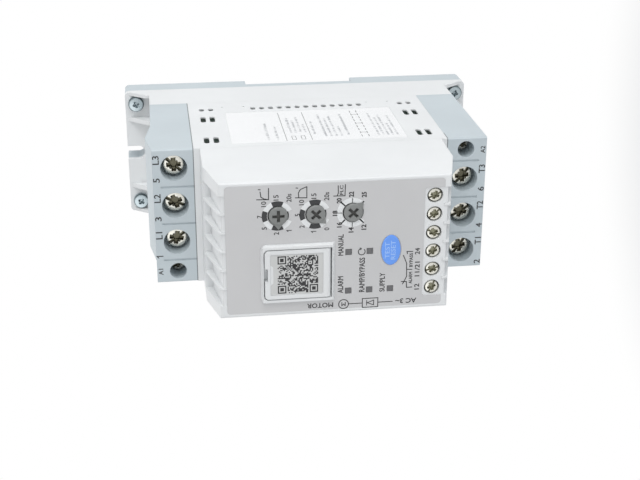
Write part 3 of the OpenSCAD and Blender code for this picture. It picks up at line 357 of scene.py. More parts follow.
def sheet_faces(rows, columns):
    """Quads of a grid of rows by columns whose last column joins the first."""
    i = np.arange(rows - 1)[:, None]
    j = np.arange(columns)[None, :]
    k = (j + 1) % columns
    return np.stack(
        [i * columns + j, i * columns + k, (i + 1) * columns + k, (i + 1) * columns + j], -1
    ).reshape(-1, 4).tolist()


def join(shapes):
    """Puts several (points, faces) together, each one's faces moved on by the points before it."""
    points, faces, count = [], [], 0
    for p, f in shapes:
        points.append(p)
        faces.extend([[corner + count for corner in face] for face in f])
        count += len(p)
    return np.concatenate(points), faces


def full_turn(steps):
    """Angles of a full circle in equal steps, as one row."""
    return np.linspace(0, 2 * np.pi, steps, endpoint=False)[None, :]


def smooth_rise(x):
    """0 up to 0, 1 from 1 on, and three times the square less twice the cube of x between."""
    x = np.clip(x, 0, 1)
    return x * x * (3 - 2 * x)


def turned(centre, across, up, level, t):
    """Surface round a centre: across times the cosine of the angle t, up times its sine, and a level. Rows
    follow the outline, columns the angle."""
    axes = (centre[0] + across * np.cos(t), centre[1] + up * np.sin(t), level)
    points = np.stack(np.broadcast_arrays(*axes), -1)
    return points.reshape(-1, 3), sheet_faces(*points.shape[:2])


def on_front(level):
    """Face towards the front: u is X, v is Z, w goes to -Y from the level."""
    return lambda p: np.stack([p[:, 0], -(level + p[:, 2]), p[:, 1]], 1)


def on_right_side(level):
    """Right-hand wall: u is Y, from the front backwards, v is Z, w goes to +X from the level."""
    return lambda p: np.stack([level + p[:, 2], p[:, 0], p[:, 1]], 1)


from_rear = on_front(0.0)
smooth_angle = 40.0
round_steps = 96


def add_object(name, data):
    """Puts an object with a mesh, lamp or camera into the scene, at the origin."""
    thing = bpy.data.objects.new(name, data)
    bpy.context.scene.collection.objects.link(thing)
    return thing


def new_piece(name, shape, place, finish, body, smooth=0.0, recess=None, stands_for=()):
    """Makes a mesh object at the origin: places the points, closes seams and poles, turns faces outwards.
    Recess is the mask by which the skins paint shade."""
    points, faces = shape
    mesh = bpy.data.meshes.new(name)
    mesh.from_pydata((place(points) * mm).tolist(), [], faces)
    if recess is not None:
        mask = mesh.attributes.new("recess", "FLOAT", "POINT")
        mask.data.foreach_set("value", recess.astype(np.float32))
    work = bmesh.new()
    work.from_mesh(mesh)
    bmesh.ops.remove_doubles(work, verts=work.verts, dist=1e-7)
    bmesh.ops.recalc_face_normals(work, faces=work.faces)
    work.to_mesh(mesh)
    work.free()
    if smooth:
        mesh.shade_smooth()
        mesh.set_sharp_from_angle(angle=math.radians(smooth))
    mesh.materials.append(finish)
    piece = add_object(name, mesh)
    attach(piece, body)
    if stands_for:
        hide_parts(*stands_for)
    return piece


# Marks: each is a flat shape in u and v, ink_thick high

def line(path, width, closed=False):
    """Inked line: a flat rectangle carried along a path in u and v. At each point it is set off half the
    width along the mean normal of the two runs that meet there, over that normal's cosine, so corners are
    mitred."""
    p = np.asarray(path, float)
    run = np.diff(np.vstack([p, p[:1]]) if closed else p, axis=0)
    run /= np.linalg.norm(run, axis=1)[:, None]
    normal = np.stack([-run[:, 1], run[:, 0]], 1)
    before = np.roll(normal, 1, 0) if closed else np.vstack([normal[:1], normal])
    after = normal if closed else np.vstack([normal, normal[-1:]])
    mean = before + after
    mean /= np.linalg.norm(mean, axis=1)[:, None]
    off = mean * (width / 2 / np.clip((mean * before).sum(1), 0.35, 1))[:, None]
    low = np.full(len(p), ink_lift)
    high = low + ink_thick
    corners = [(p + off, low), (p - off, low), (p - off, high), (p + off, high)]
    ring = np.stack([np.column_stack([at, level]) for at, level in corners], 1)
    if closed:
        ring = np.concatenate([ring, ring[:1]])
    faces = sheet_faces(len(ring), 4)
    if not closed:
        last = 4 * (len(ring) - 1)
        faces += [[0, 1, 2, 3], [last + 3, last + 2, last + 1, last]]
    return ring.reshape(-1, 3), faces


def box_path(low, high):
    """Four corners of a box, from two opposite ones."""
    return [low, (high[0], low[1]), high, (low[0], high[1])]


def around(centre, radius, start, end, steps):
    """Points of a circle from a start angle to an end angle, in degrees from the right."""
    turn = np.radians(np.linspace(start, end, steps))
    return np.asarray(centre) + radius * np.stack([np.cos(turn), np.sin(turn)], 1)


def arc(centre, radius, start, end, width, steps=20):
    """Inked band round a centre: a line along points of a circle."""
    return line(around(centre, radius, start, end, steps), width)


def blocks(low, high, floor=ink_lift, top=ink_lift + ink_thick):
    """Upright blocks: eight corners for each pair of opposite corners in u and v, all at once."""
    low, high = np.atleast_2d(low).astype(float), np.atleast_2d(high).astype(float)
    pick = np.array([[0, 0, 0], [1, 0, 0], [1, 1, 0], [0, 1, 0], [0, 0, 1], [1, 0, 1], [1, 1, 1], [0, 1, 1]])
    low = np.column_stack([low, np.full(len(low), floor)])
    high = np.column_stack([high, np.full(len(high), top)])
    points = low[:, None] + pick[None] * (high - low)[:, None]
    sides = np.array([[0, 3, 2, 1], [4, 5, 6, 7], [0, 1, 5, 4], [1, 2, 6, 5], [2, 3, 7, 6], [3, 0, 4, 7]])
    faces = (np.arange(len(low))[:, None, None] * 8 + sides[None]).reshape(-1, 4)
    return points.reshape(-1, 3), faces.tolist()


def plate(outline, floor, top):
    """Flat plate: an outline in u and v carried straight up from a floor to a top and closed at both."""
    p = np.asarray(outline, float)
    points = np.concatenate([np.column_stack([p, np.full(len(p), level)]) for level in (floor, top)])
    ends = [list(range(len(p))), list(range(len(p), 2 * len(p)))]
    return points, sheet_faces(2, len(p)) + ends


def outward(points, normals, faces):
    """Way out of upright letters at each point: the mean normal of the walls that meet there, over its
    cosine to them. The length of their unit normals' sum is that cosine times their count."""
    corner = np.unique(np.round(points[:, :2], 4), axis=0, return_inverse=True)[1].ravel()
    face_of = np.repeat(np.arange(len(faces)), [len(face) for face in faces])
    wall = np.abs(normals[face_of, 2]) < 0.5
    wall_corner = corner[np.concatenate(faces)[wall]]
    total = np.zeros((corner.max() + 1, 2))
    np.add.at(total, wall_corner, normals[face_of[wall], :2])
    count = np.maximum(np.bincount(wall_corner, minlength=len(total)), 1)
    length = np.maximum(np.linalg.norm(total, axis=1), 1e-6)
    return (total / (length * np.clip(length / count, 0.5, 1))[:, None])[corner]


def read_rows(items, label):
    """One vector of each vertex or face of a mesh, as rows of an array."""
    values = np.empty(3 * len(items), np.float32)
    items.foreach_get(label, values)
    return values.reshape(-1, 3).astype(float)


def words(text, at, size, weight, turn=0.0):
    """Inked lettering: plain letters become a mesh, are made heavier by a weight, fitted to a width and
    height round their middle, then turned and moved."""
    curve = bpy.data.curves.new("lettering", "FONT")
    curve.body = text
    curve.resolution_u = 3
    curve.extrude = 0.5
    holder = bpy.data.objects.new("lettering", curve)
    mesh = holder.to_mesh()
    points = read_rows(mesh.vertices, "co")
    faces = [list(polygon.vertices) for polygon in mesh.polygons]
    points[:, :2] += weight * outward(points, read_rows(mesh.polygons, "normal"), faces)
    holder.to_mesh_clear()
    bpy.data.objects.remove(holder)
    bpy.data.curves.remove(curve)
    low, high = points.min(0), points.max(0)
    points = (points - (low + high) / 2) / (high - low) * np.array([*size, ink_thick])
    c, s = math.cos(math.radians(turn)), math.sin(math.radians(turn))
    points[:, :2] = points[:, :2] @ np.array([[c, s], [-s, c]]) + np.asarray(at)
    points[:, 2] += ink_lift + ink_thick / 2
    return points, faces


def one(at, height):
    """Inked figure one: a line along a short flag and an upright stem."""
    flag = np.array([(-0.24, 0.2), (0.08, 0.5), (0.08, -0.5)])
    return line(np.asarray(at) + height * flag, 0.14 * height)


def figure_or_one(text, at, size, weight):
    """Lettering, with a lone figure one drawn by its strokes."""
    return one(at, size[1]) if text == "1" else words(text, at, size, weight)


def print_marks(name, shapes, place, finish, body="housing"):
    """One printed piece from several marks."""
    return new_piece(name, join(shapes), place, finish, body)


# Dial scales

front_face = on_front(front_level)
dial_names = ("ramp_up_turn", "ramp_down_turn", "current_turn")
ring_shift = np.array([-0.05, 0.25])
ring_middles = [joint_place(name) + ring_shift for name in dial_names]
ring_in = 3.12
ring_out = 4.6
ring_mid = (ring_in + ring_out) / 2
ring_width = ring_out - ring_in
step_angles = 225 - 45.0 * np.arange(7)
pale_half_angle = 21.5
dark_half_angle = 23.5
dark_extra = 0.06
current_ends = (-53, 233)
long_tick = (0.42, ring_out + 0.25)
short_tick = (0.22, ring_out - 0.05)

pale_rings, dark_rings = [], []
for middle in ring_middles[:2]:
    for angle in step_angles[::2]:
        pale_rings.append(
            arc(middle, ring_mid, angle - pale_half_angle, angle + pale_half_angle, ring_width))
    for angle in step_angles[1::2]:
        dark_rings.append(
            arc(middle, ring_mid, angle - dark_half_angle, angle + dark_half_angle, ring_width + dark_extra))
current_middle = ring_middles[2]
pale_rings.append(arc(current_middle, ring_mid, *current_ends, ring_width, 90))
for step, angle in enumerate(np.radians(step_angles)):
    aim = np.array([math.cos(angle), math.sin(angle)])
    tick_width, tick_end = short_tick if step % 2 else long_tick
    dark_rings.append(line([current_middle + ring_in * aim, current_middle + tick_end * aim], tick_width))
print_marks("dial_rings", pale_rings, front_face, ink_pale)
print_marks("dial_sectors", dark_rings, front_face, ink_dark)

scales = (
    ("1", "2", "5", "7", "10", "15", "20s"),
    ("0", "1", "2", "5", "10", "15", "20s"),
    ("12", "14", "16", "18", "20", "22", "25"),
)
figure_places = np.array([
    (-4.85, -3.5), (-5.55, 0.35), (-3.75, 3.9), (0.0, 5.2), (3.9, 4.0), (5.75, 0.35), (5.5, -3.45),
])
figure_widths = {"20s": 2.6}
figure_width = 0.85
figure_height = 1.5
scale_weights = (0.012, 0.012, 0.035)
scale_marks = []
for middle, figures, weight in zip(ring_middles, scales, scale_weights):
    for figure, at in zip(figures, middle + figure_places):
        width = figure_widths.get(figure, figure_width * len(figure))
        scale_marks.append(figure_or_one(figure, at, (width, figure_height), weight))
print_marks("dial_figures", scale_marks, front_face, ink_black)


# Signs beside the dials, and the relay contacts

sign_width = 0.27
sign_paths = (
    ((19.74, 19.85), (16.12, 19.9), (16.24, 23.48)),
    ((16.14, 20.1), (16.42, 21.3), (17.01, 22.13), (18.7, 22.34)),
    ((19.3, 22.2), (19.38, 22.94)),
    ((19.73, 8.63), (16.17, 8.63), (16.31, 12.12)),
    ((16.34, 11.01), (17.77, 11.13), (18.5, 10.75), (18.91, 10.39), (19.6, 8.68)),
    ((19.3, 11.2), (19.38, 11.94)),
    ((19.84, -2.76), (16.25, -2.67), (16.31, 0.79)),
    ((16.31, -0.32), (16.7, -0.5), (17.21, -0.68), (19.57, -0.62)),
    ((-2.73, -23.67), (-2.66, -21.81), (-3.49, -21.97)),
    ((-3.76, -20.7), (-6.51, -21.8), (-10.81, -21.93), (-12.44, -21.21), (-13.46, -20.66)),
    ((-8.54, -21.87), (-8.64, -23.61)),
    ((-12.52, -20.18), (-12.62, -21.92), (-14.59, -21.98), (-14.55, -23.73)),
)
signs = [line(path, sign_width) for path in sign_paths]

# Words beside the dials, indicators and relay contacts
lamp_weight = 0.018
contact_weight = 0.022
number_weight = 0.015
panel_words = (
    ("FLC", (18.1, -1.65), (3.0, 1.05), 0.02),
    ("MANUAL", (0.57, -1.6), (6.9, 1.65), lamp_weight),
    ("ALARM", (-12.5, -1.6), (5.6, 1.65), lamp_weight),
    ("RAMP/BYPASS", (-9.6, -8.15), (11.4, 1.75), lamp_weight),
    ("SUPPLY", (-12.4, -14.4), (6.3, 1.65), lamp_weight),
    ("BYPASS", (-5.55, -23.15), (4.55, 1.05), contact_weight),
    ("ALARM", (-11.44, -23.12), (3.9, 1.05), contact_weight),
    ("24", (-2.73, -25.02), (2.1, 1.5), number_weight),
    ("11/21", (-8.63, -25.13), (4.9, 1.5), number_weight),
    ("12", (-14.5, -25.16), (2.0, 1.5), number_weight),
)
signs += [words(*row) for row in panel_words]

# Return arrow beside an indicator
return_middle = np.array([-1.95, -7.95])
return_head = np.array([(1.26, 0.64), (1.07, 0.11), (0.56, 0.36)])
return_r = 1.03
return_ends = (22, 317)
thin_width = 0.24
signs.append(arc(return_middle, return_r, *return_ends, sign_width, 30))
signs.append(line(return_middle + return_head, thin_width))

# Supply, switch and motor along the left-hand edge, read upwards
edge_u = -19.05
edge_weight = 0.02
edge_width = 0.26
supply_end = -17.8
switch_low, switch_high = -13.2, -8.4
switch_half = 1.5
diode_low, diode_tip = switch_low + 1.3, switch_high - 1.5
diode_half = 0.8
bar_v = switch_high - 1.35
bar_half = 0.9
motor_v = -2.6
motor_r = 1.5
motor_width = 0.28
switch_box = box_path((edge_u - switch_half, switch_low), (edge_u + switch_half, switch_high))
signs += [
    words("AC 3~", (edge_u, -21.9), (6.6, 1.6), edge_weight, 90),
    line([(edge_u, supply_end), (edge_u, switch_low)], edge_width),
    line(switch_box, edge_width, True),
    line([(edge_u - diode_half, diode_low), (edge_u, diode_tip), (edge_u + diode_half, diode_low)],
         thin_width, True),
    line([(edge_u - bar_half, bar_v), (edge_u + bar_half, bar_v)], thin_width),
    line([(edge_u, switch_high), (edge_u, motor_v - motor_r)], edge_width),
    line(around((edge_u, motor_v), motor_r, 0, 351, 40), motor_width, True),
    words("M", (edge_u, motor_v), (1.3, 1.3), edge_weight, 90),
    words("MOTOR", (edge_u, 4.6), (8.0, 1.6), edge_weight, 90),
]
print_marks("panel_signs", signs, front_face, ink_black)


# Hatch door: a label with a field of square cells, inset in the door

door_low, door_high = box_mm("hatch_door")
door_middle = (door_low[0] + door_high[0]) / 2
label_half = 6.45
label_top = door_high[2] - 1.75
label_foot = door_low[2] + 2.45
finger_half = 2.6
finger_in = 0.8
label_lift = 0.06
label_sunk = 0.15
door_level = front_of("hatch_door") - label_sunk
right_half = np.array([
    (label_half, label_foot), (label_half, label_top),
    (finger_half + finger_in, label_top), (finger_half, label_top - finger_in),
])
door_outline = np.concatenate([right_half, right_half[::-1] * (-1, 1)]) + (door_middle, 0.0)
new_piece("door_label", plate(door_outline, ink_lift, label_lift), on_front(door_level), door_grey,
          "hatch_door")

cells = 33
field_size = 12.2
field_in = 2.1
field_share = 0.54
cell_fill = 0.998
big_eye, small_eye = 7, 5
cell = field_size / cells
field_right = door_middle + field_size / 2
field_top = label_top - field_in
rng = np.random.default_rng(45)
field = rng.random((cells, cells)) < field_share


def eye(side):
    """Square eye: a filled middle, a bare ring and a filled outer ring, by the larger distance from its
    middle."""
    away = np.abs(np.arange(side) - side // 2)
    return np.maximum(away[:, None], away[None, :]) != side // 2 - 1


far_eye = cells - big_eye
for i, j in ((0, 0), (far_eye, 0), (far_eye, far_eye)):
    field[max(i - 1, 0):i + big_eye + 1, max(j - 1, 0):j + big_eye + 1] = False
    field[i:i + big_eye, j:j + big_eye] = eye(big_eye)
eye_in = 4
field[eye_in:eye_in + small_eye, cells - eye_in - small_eye:cells - eye_in] = eye(small_eye)
row_at, column_at = np.nonzero(field)
cell_low = np.column_stack([field_right - (row_at + 1) * cell, field_top - (column_at + 1) * cell])
print_marks("door_cells", [blocks(cell_low, cell_low + cell * cell_fill)], on_front(door_level + label_lift),
            ink_black, "hatch_door")


# Standard terminal marks

block_face = on_front(front_of("line_terminal_block"))
mark_v = 52.05
line_marks = (
    ("L3", 19.15), ("5", 12.5), ("L2", 6.5), ("3", -0.45), ("L1", -6.1), ("1", -13.4), ("A1", -18.7),
)
load_marks = (
    ("A2", 18.3), ("T3", 11.75), ("6", 4.9), ("T2", -0.8), ("4", -7.85), ("T1", -13.4), ("2", -20.8),
)
mark_widths = {"L1": 2.5, "T1": 2.6, "A1": 2.2, "A2": 2.4}
mark_width = 1.45
main_height, control_height = 2.05, 1.5
mark_weight = 0.012
for name, marks, v in (("line_marks", line_marks, mark_v), ("load_marks", load_marks, -mark_v)):
    shapes = []
    for text, u in marks:
        height = control_height if text.startswith("A") else main_height
        size = (mark_widths.get(text, mark_width * len(text)), height)
        shapes.append(figure_or_one(text, (u, v), size, mark_weight))
    print_marks(name, shapes, block_face, ink_black)


# Side label: rows of fine print between rules, and a plain connection sketch

letter_pitch = 0.5
letter_widths = (0.16, 0.4)
letter_gap, word_gap, word_share = 0.22, 1.0, 0.24
low_rise, tall_share = 0.72, 0.3


def fine_print(start, end, v, height):
    """Row of print too small to read: short blocks for letters, with wider gaps after every few."""
    count = int((end - start) / letter_pitch)
    widths = rng.uniform(*letter_widths, count)
    gaps = np.where(rng.random(count) < word_share, word_gap, letter_gap)
    ends = start + np.cumsum(widths + gaps)
    keep = ends < end
    rise = np.where(rng.random(count) < tall_share, 1.0, low_rise) * height
    low = np.column_stack([ends - widths, np.full(count, v - height / 2)])[keep]
    high = np.column_stack([ends, v - height / 2 + rise])[keep]
    return blocks(low, high)


label_face = on_right_side(box_mm("side_label")[1][0])
print_rows = (
    (-70, -52, 16.2, 1.0), (-70, -56, 13.2, 0.8), (-63, -47, 8.4, 0.9), (-63, -50, 6.8, 0.8),
    (-63, -46, 5.2, 0.8), (-63, -54, 3.7, 0.7), (-66, -51, 0.9, 0.8), (-68, -44, -2.4, 0.9),
    (-68, -49, -4.1, 0.8), (-68, -46, -5.8, 0.8), (-68, -58, -7.5, 0.8), (-68, -45, -9.8, 0.9),
    (-69, -45, -19.4, 0.8), (-69, -50, -20.9, 0.8), (-69, -47, -22.4, 0.8), (-69, -56, -23.9, 0.8),
    (-69, -48, -25.4, 0.8),
)
print_marks("label_fine_print", [fine_print(*row) for row in print_rows], label_face, ink_grey)

rule_width = 0.14
rule_start, rule_end = -71, -41
box_start, box_end, box_half = -70, -66.5, 0.6
sketch_u = np.linspace(-69.5, -43.5, 9)
sketch_top, sketch_foot = -13.9, -16.1
dash_length, dash_width = 1.9, 0.2
drop_in, drop_width = 1.0, 0.16
label_rules = [line([(rule_start, v), (rule_end, v)], rule_width) for v in (10.5, 2.4)]
for v in (8.0, 5.0):
    label_rules.append(line(box_path((box_start, v - box_half), (box_end, v + box_half)), rule_width, True))
for v in (sketch_top, sketch_foot):
    label_rules += [line([(u, v), (u + dash_length, v)], dash_width) for u in sketch_u]
for u in sketch_u[1::3] + drop_in:
    label_rules.append(line([(u, sketch_top), (u, sketch_foot)], drop_width))
print_marks("label_rules", label_rules, label_face, ink_dark)


# Screws: lengths across a head are shares of its radius, depths and levels shares of its height

cross_deep, nick_deep, core_deep, slot_deep = 0.5, 0.26, 0.62, 0.36
nick_length, nick_half = 0.77, 0.07
core_size = 1.9
slot_length = 1.1
edge_rise, edge_start = 0.08, 0.4
dome_drop, rim_drop, rim_from = 0.1, 0.3, 0.86
rim_foot, least_left = 0.42, 0.2
# Painted shade in screw recesses and round their rims: the depth share at which the recess is fully shaded,
# then for each screw the share in the recess, the rim share where it starts and its share at the rim.
full_shade_depth = 0.4
usual_shade = (1.0, 0.88, 0.6)


def bar(along, across, length, half):
    """1 inside a bar of that length and half width through the middle, 0 outside, with a smooth edge."""
    inside = np.minimum(length - np.abs(along), half - np.abs(across))
    return smooth_rise(inside / edge_rise + edge_start)


def screw(centre, seat, head, shank, turn, arm, slot_half, painted_shade):
    """Screw as a surface of radius share s and angle t. The head's top is a dome that drops near its rim. A
    star of a cross, a round core and four narrow nicks between the arms, and a straight slot through the rim
    where slot_half isn't 0, are pressed into it by smooth steps of the distance from their edges; then the
    outline goes down the rim, in under the head, down the shank and to its tip. The mask of painted shade
    follows the depth of what is pressed in, and round the rim grows from the rim's start share to its full
    strength."""
    diameter, height = head
    shank_d, shank_l = shank
    arm_length, arm_half = arm
    recess_shade, rim_start, rim_shade = painted_shade
    radius = diameter / 2
    t = full_turn(round_steps)
    s = np.linspace(0, 1, 46)[:, None]
    rim = np.clip((s - rim_from) / (1 - rim_from), 0, 1)
    dome = height * (1 - dome_drop * s ** 2 - rim_drop * rim ** 2)
    a, b = s * np.cos(t - turn), s * np.sin(t - turn)
    c, d = (a + b) * math.sqrt(0.5), (b - a) * math.sqrt(0.5)
    nick = nick_length * arm_length
    cross = np.maximum(bar(a, b, arm_length, arm_half), bar(b, a, arm_length, arm_half))
    nicks = np.maximum(bar(c, d, nick, nick_half), bar(d, c, nick, nick_half))
    core = smooth_rise((core_size * arm_half - np.hypot(a, b)) / edge_rise + edge_start)
    sunk = np.maximum(np.maximum(cross_deep * cross, nick_deep * nicks), core_deep * core)
    if slot_half:
        sunk = np.maximum(sunk, slot_deep * bar(c, d, slot_length, slot_half))
    top = np.maximum(dome - height * sunk, height * least_left)
    outline_r = np.array([radius, radius, shank_d / 2, shank_d / 2, 0.0])[:, None]
    outline_w = np.array([height * rim_foot, 0.0, 0.0, -shank_l, -shank_l])[:, None]
    r = np.concatenate([s * radius, outline_r])
    w = np.concatenate([top, outline_w * np.ones_like(t)])
    rim_share = np.clip((s - rim_start) / (1 - rim_start), 0, 1)
    shade_mask = np.maximum(recess_shade * np.clip(sunk / full_shade_depth, 0, 1), rim_shade * rim_share)
    mask = np.concatenate([shade_mask, np.zeros((len(outline_r), t.size))]).ravel()
    return *turned(centre, r, r, seat + w, t), mask


def screws(name, centres, head, turns, arm, slot_half, finish, painted_shade=usual_shade):
    """Several screws as one piece that stands for the solids of the same name and keeps their levels."""
    low, high = box_mm(name)
    diameter, height, shank_d = head
    seat = -low[1] - height
    shank = (shank_d, seat + high[1])
    made = [screw(c, seat, (diameter, height), shank, math.radians(a), arm, slot_half, painted_shade)
            for c, a in zip(centres, turns)]
    shape = join([(p, f) for p, f, _ in made])
    mask = np.concatenate([m for _, _, m in made])
    return new_piece(name + "_heads", shape, from_rear, finish, "housing", smooth_angle, mask, (name,))


def row_places(node, diameter, count):
    """Middles of a row of equal heads: evenly spread between the node's ends."""
    low, high = box_mm(node)
    across = np.linspace(high[0] - diameter / 2, low[0] + diameter / 2, count)
    return np.column_stack([across, np.full(count, (low[2] + high[2]) / 2)])


def corner_places(node, diameter):
    """Middles of four equal heads in the node's corners, from the right-hand one at the line end."""
    low, high = box_mm(node)
    u, v = high[0] - diameter / 2, high[2] - diameter / 2
    return np.array([(u, v), (-u, v), (u, -v), (-u, -v)])


broad_arm = (0.62, 0.18)
short_arm = (0.42, 0.1)
broad_slot = 0.12
flange_shade = (0.3, 0.74, 0.95)
main_head = (7.0, 2.6, 3.9)
control_head = (4.6, 2.0, 2.9)
relay_head = (4.2, 1.6, 2.5)
flange_head = (5.5, 2.1, 2.9)
control_corners = corner_places("control_screws", control_head[0])
terminal_screws = (
    ("line_screws", row_places("line_screws", main_head[0], 3), main_head, (2, 20, 80), nickel),
    ("load_screws", row_places("load_screws", main_head[0], 3), main_head, (95, 75, 100), nickel),
    ("control_screws", control_corners[[1, 2]], control_head, (85, 20), nickel),
    ("relay_screws", row_places("relay_screws", relay_head[0], 6), relay_head, (70, 85, 20, 95, 60, 110),
     nickel_pale),
)
for name, centres, head, turns, finish in terminal_screws:
    screws(name, centres, head, turns, broad_arm, broad_slot, finish)
screws("flange_screws", corner_places("flange_screws", flange_head[0]), flange_head, (20, 52, 77, 8),
       short_arm, 0.0, zinc, flange_shade)


# Dials

dial_low, dial_high = box_mm("ramp_up_dial")
dial_r = (dial_high[2] - dial_low[2]) / 2
pointer_reach = joint_place("ramp_up_turn")[0] - dial_low[0]
pointer_half = 1.5
pointer_aims = {"ramp_up_dial": 180, "ramp_down_dial": 225, "current_dial": -45}
arm_reach, arm_side, arm_deep, arm_rise = 1.75, 0.4, 0.75, 0.16
top_fall, rim_fall, rim_width = 0.1, 0.26, 0.2
film_clear = 0.22
stem_r = 1.45
foot_level = front_level - 1.6


def pressed_arm(along, across):
    """1 inside one bar of the dial's cross, 0 outside, with a short smooth rise between."""
    inside = np.minimum(arm_reach - np.abs(along), arm_side - np.abs(across))
    return smooth_rise(inside / arm_rise + 0.5)


def dial_cap(name, body):
    """Dial as a surface of share s and angle t. Its outline is a circle with a straight-sided pointer: on
    either side of the pointer's axis the radius is a side's distance from the dial's axis over the cosine of
    the angle to that side's normal. The top falls with the square of the radius, and steeply near the circle;
    a cross is pressed into it; then the outline goes down to just over the film, in to the circle, down
    through the hole, and in to the stem and its foot."""
    low, high = box_mm(body)
    base = math.sqrt(dial_r ** 2 - pointer_half ** 2)
    side_normal = math.atan2(pointer_reach - base, pointer_half)
    side_away = pointer_reach * math.cos(side_normal)
    t = full_turn(120)
    off_axis = np.abs(np.angle(np.exp(1j * t)))
    on_pointer = off_axis < math.asin(pointer_half / dial_r)
    outline = np.maximum(dial_r, np.where(on_pointer, side_away / np.cos(side_normal - off_axis), 0))
    s = np.linspace(0, 1, 44)[:, None]
    away = s * outline
    share = away / dial_r
    along, across = away * np.cos(t), away * np.sin(t)
    sunk = np.maximum(pressed_arm(along, across), pressed_arm(across, along))
    rim = np.clip((share - 1 + rim_width) / rim_width, 0, 1)
    top = -low[1] - top_fall * np.minimum(share, 1) ** 2 - rim_fall * rim ** 2 - arm_deep * sunk
    foot = -high[1]
    under = front_level + film_clear
    ring = np.ones_like(t)
    r = np.concatenate([away, outline] + [radius * ring for radius in (dial_r, dial_r, stem_r, stem_r, 0)])
    levels = (under, under, foot_level, foot_level, foot, foot)
    w = np.concatenate([top] + [level * ring for level in levels])
    # Painted shade in the pressed cross, through the recess mask.
    mask = np.concatenate([sunk, np.zeros((len(levels), t.size))]).ravel()
    cap = turned(joint_place(name), r, r, w, t + math.radians(pointer_aims[body]))
    return new_piece(body + "_cap", cap, from_rear, dial_grey, body, smooth_angle, mask, (body,))


for joint_name, dial in zip(dial_names, pointer_aims):
    dial_cap(joint_name, dial)


# Push key

key_low, key_high = box_mm("test_button")
key_middle = ((key_low + key_high) / 2)[[0, 2]]
key_top = -key_low[1]
key_half = np.array([4.88, 2.94])
key_deep = 3.4
key_drop, key_power = 0.14, 24
key_weight = 0.012


def oval_key(centre, half, top, bottom):
    """Oval key as a surface of share s and angle t: an ellipse scaled by s, flat but rounded near its edge by
    a high power of s, then carried straight down and closed at the bottom."""
    s = np.linspace(0, 1, 30)[:, None]
    share = np.concatenate([s, [[1.0], [0.0]]])
    level = np.concatenate([top - key_drop * s ** key_power, [[bottom], [bottom]]])
    return turned(centre, half[0] * share, half[1] * share, level, full_turn(round_steps))


def oval_ring(centre, inner, outer, low, top):
    """Ring round an oval: a rectangle between an inner and an outer ellipse, a low and a top level, carried
    round by the angle t."""
    half = np.array([inner, outer, outer, inner, inner])
    level = np.array([low, low, top, top, low])[:, None]
    return turned(centre, half[:, :1], half[:, 1:], level, full_turn(round_steps))


new_piece("test_button_key", oval_key(key_middle, key_half, key_top, key_top - key_deep), from_rear,
          button_blue, "test_button", smooth_angle, stands_for=("test_button",))
key_words = [
    words("TEST", key_middle + (0.0, 1.15), (5.3, 1.45), key_weight),
    words("RESET", key_middle - (0.0, 0.65), (6.2, 1.45), key_weight),
]
print_marks("test_button_words", key_words, on_front(key_top), ink_sky, "test_button")

# Edge of the film close round the key
film_gap, film_rim, film_thick = 0.04, 0.12, 0.25
film_inner = key_half + film_gap
film_outer = film_inner + film_rim
new_piece("film_collar", oval_ring(key_middle, film_inner, film_outer, front_level - film_thick, front_level),
          from_rear, film_grey, "housing", smooth_angle)


# Contacts in the set-up socket behind the hatch

socket_low, socket_high = box_mm("setup_socket")
pin_pitch = 1.27
pin_half = 0.25
pin_length = 2.7
pin_in = 1.0
pin_steps = np.stack(np.meshgrid(np.arange(5) - 2, np.arange(2) - 0.5), -1).reshape(-1, 2)
pin_at = ((socket_low + socket_high) / 2)[[0, 2]] + pin_pitch * pin_steps
pin_top = -socket_low[1] - pin_in
new_piece("setup_socket_pins", blocks(pin_at - pin_half, pin_at + pin_half, pin_top - pin_length, pin_top),
          from_rear, pin_gold, "housing")


# Spring behind the rail latch, pressed together as the latch is pulled

coil_wire = 0.45
coil_turns = 5
coil_smooth = 60.0


def coil(low, high, thick, turns):
    """Coil spring: a small circle carried along a helix that climbs from the lower end of a box to its upper
    end; the circle's axes are the helix's radius and the upright."""
    middle = (low + high) / 2
    climb = np.linspace(0, 1, 24 * turns + 1)[:, None]
    turn = 2 * np.pi * turns * climb
    ring = full_turn(10)
    away = (high[0] - low[0] - thick) / 2 + thick / 2 * np.cos(ring)
    height = low[2] + thick / 2 + (high[2] - low[2] - thick) * climb + thick / 2 * np.sin(ring)
    points = np.stack([middle[0] + away * np.cos(turn), height, away * np.sin(turn) - middle[1]], -1)
    last = ring.size * (len(climb) - 1)
    ends = [list(range(ring.size)), list(range(last, last + ring.size))]
    return points.reshape(-1, 3), sheet_faces(len(climb), ring.size) + ends


spring_low, spring_high = box_mm("latch_spring")
spring_coil = new_piece("latch_spring_coil", coil(spring_low, spring_high, coil_wire, coil_turns), from_rear,
                        spring_steel, "housing", coil_smooth, stands_for=("latch_spring",))
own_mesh(spring_coil)


# Floor, light and camera

floor_level = -160.0
floor_middle = (0.0, -53.0)
floor_radius = 900.0
fade_start, fade_end = 50.0, 170.0


def floor_disc(middle, level, radius):
    """Flat disc as a surface of radius and angle, which runs clockwise so that its faces look up."""
    s = np.linspace(0, 1, 12)[:, None] ** 1.5
    return turned(middle, radius * s, radius * s, level, -full_turn(round_steps))


def seen_by_eye_or_mirror(tree):
    """Node whose Value is 1 for rays from the camera, from glossy surfaces and through clear ones."""
    path = add_node(tree, "LightPath")
    first = add_node(tree, "Math", operation="ADD")
    second = add_node(tree, "Math", operation="ADD", use_clamp=True)
    wire(tree, (
        (path, "Is Camera Ray", first, 0), (path, "Is Glossy Ray", first, 1),
        (first, "Value", second, 0), (path, "Is Transmission Ray", second, 1),
    ))
    return second


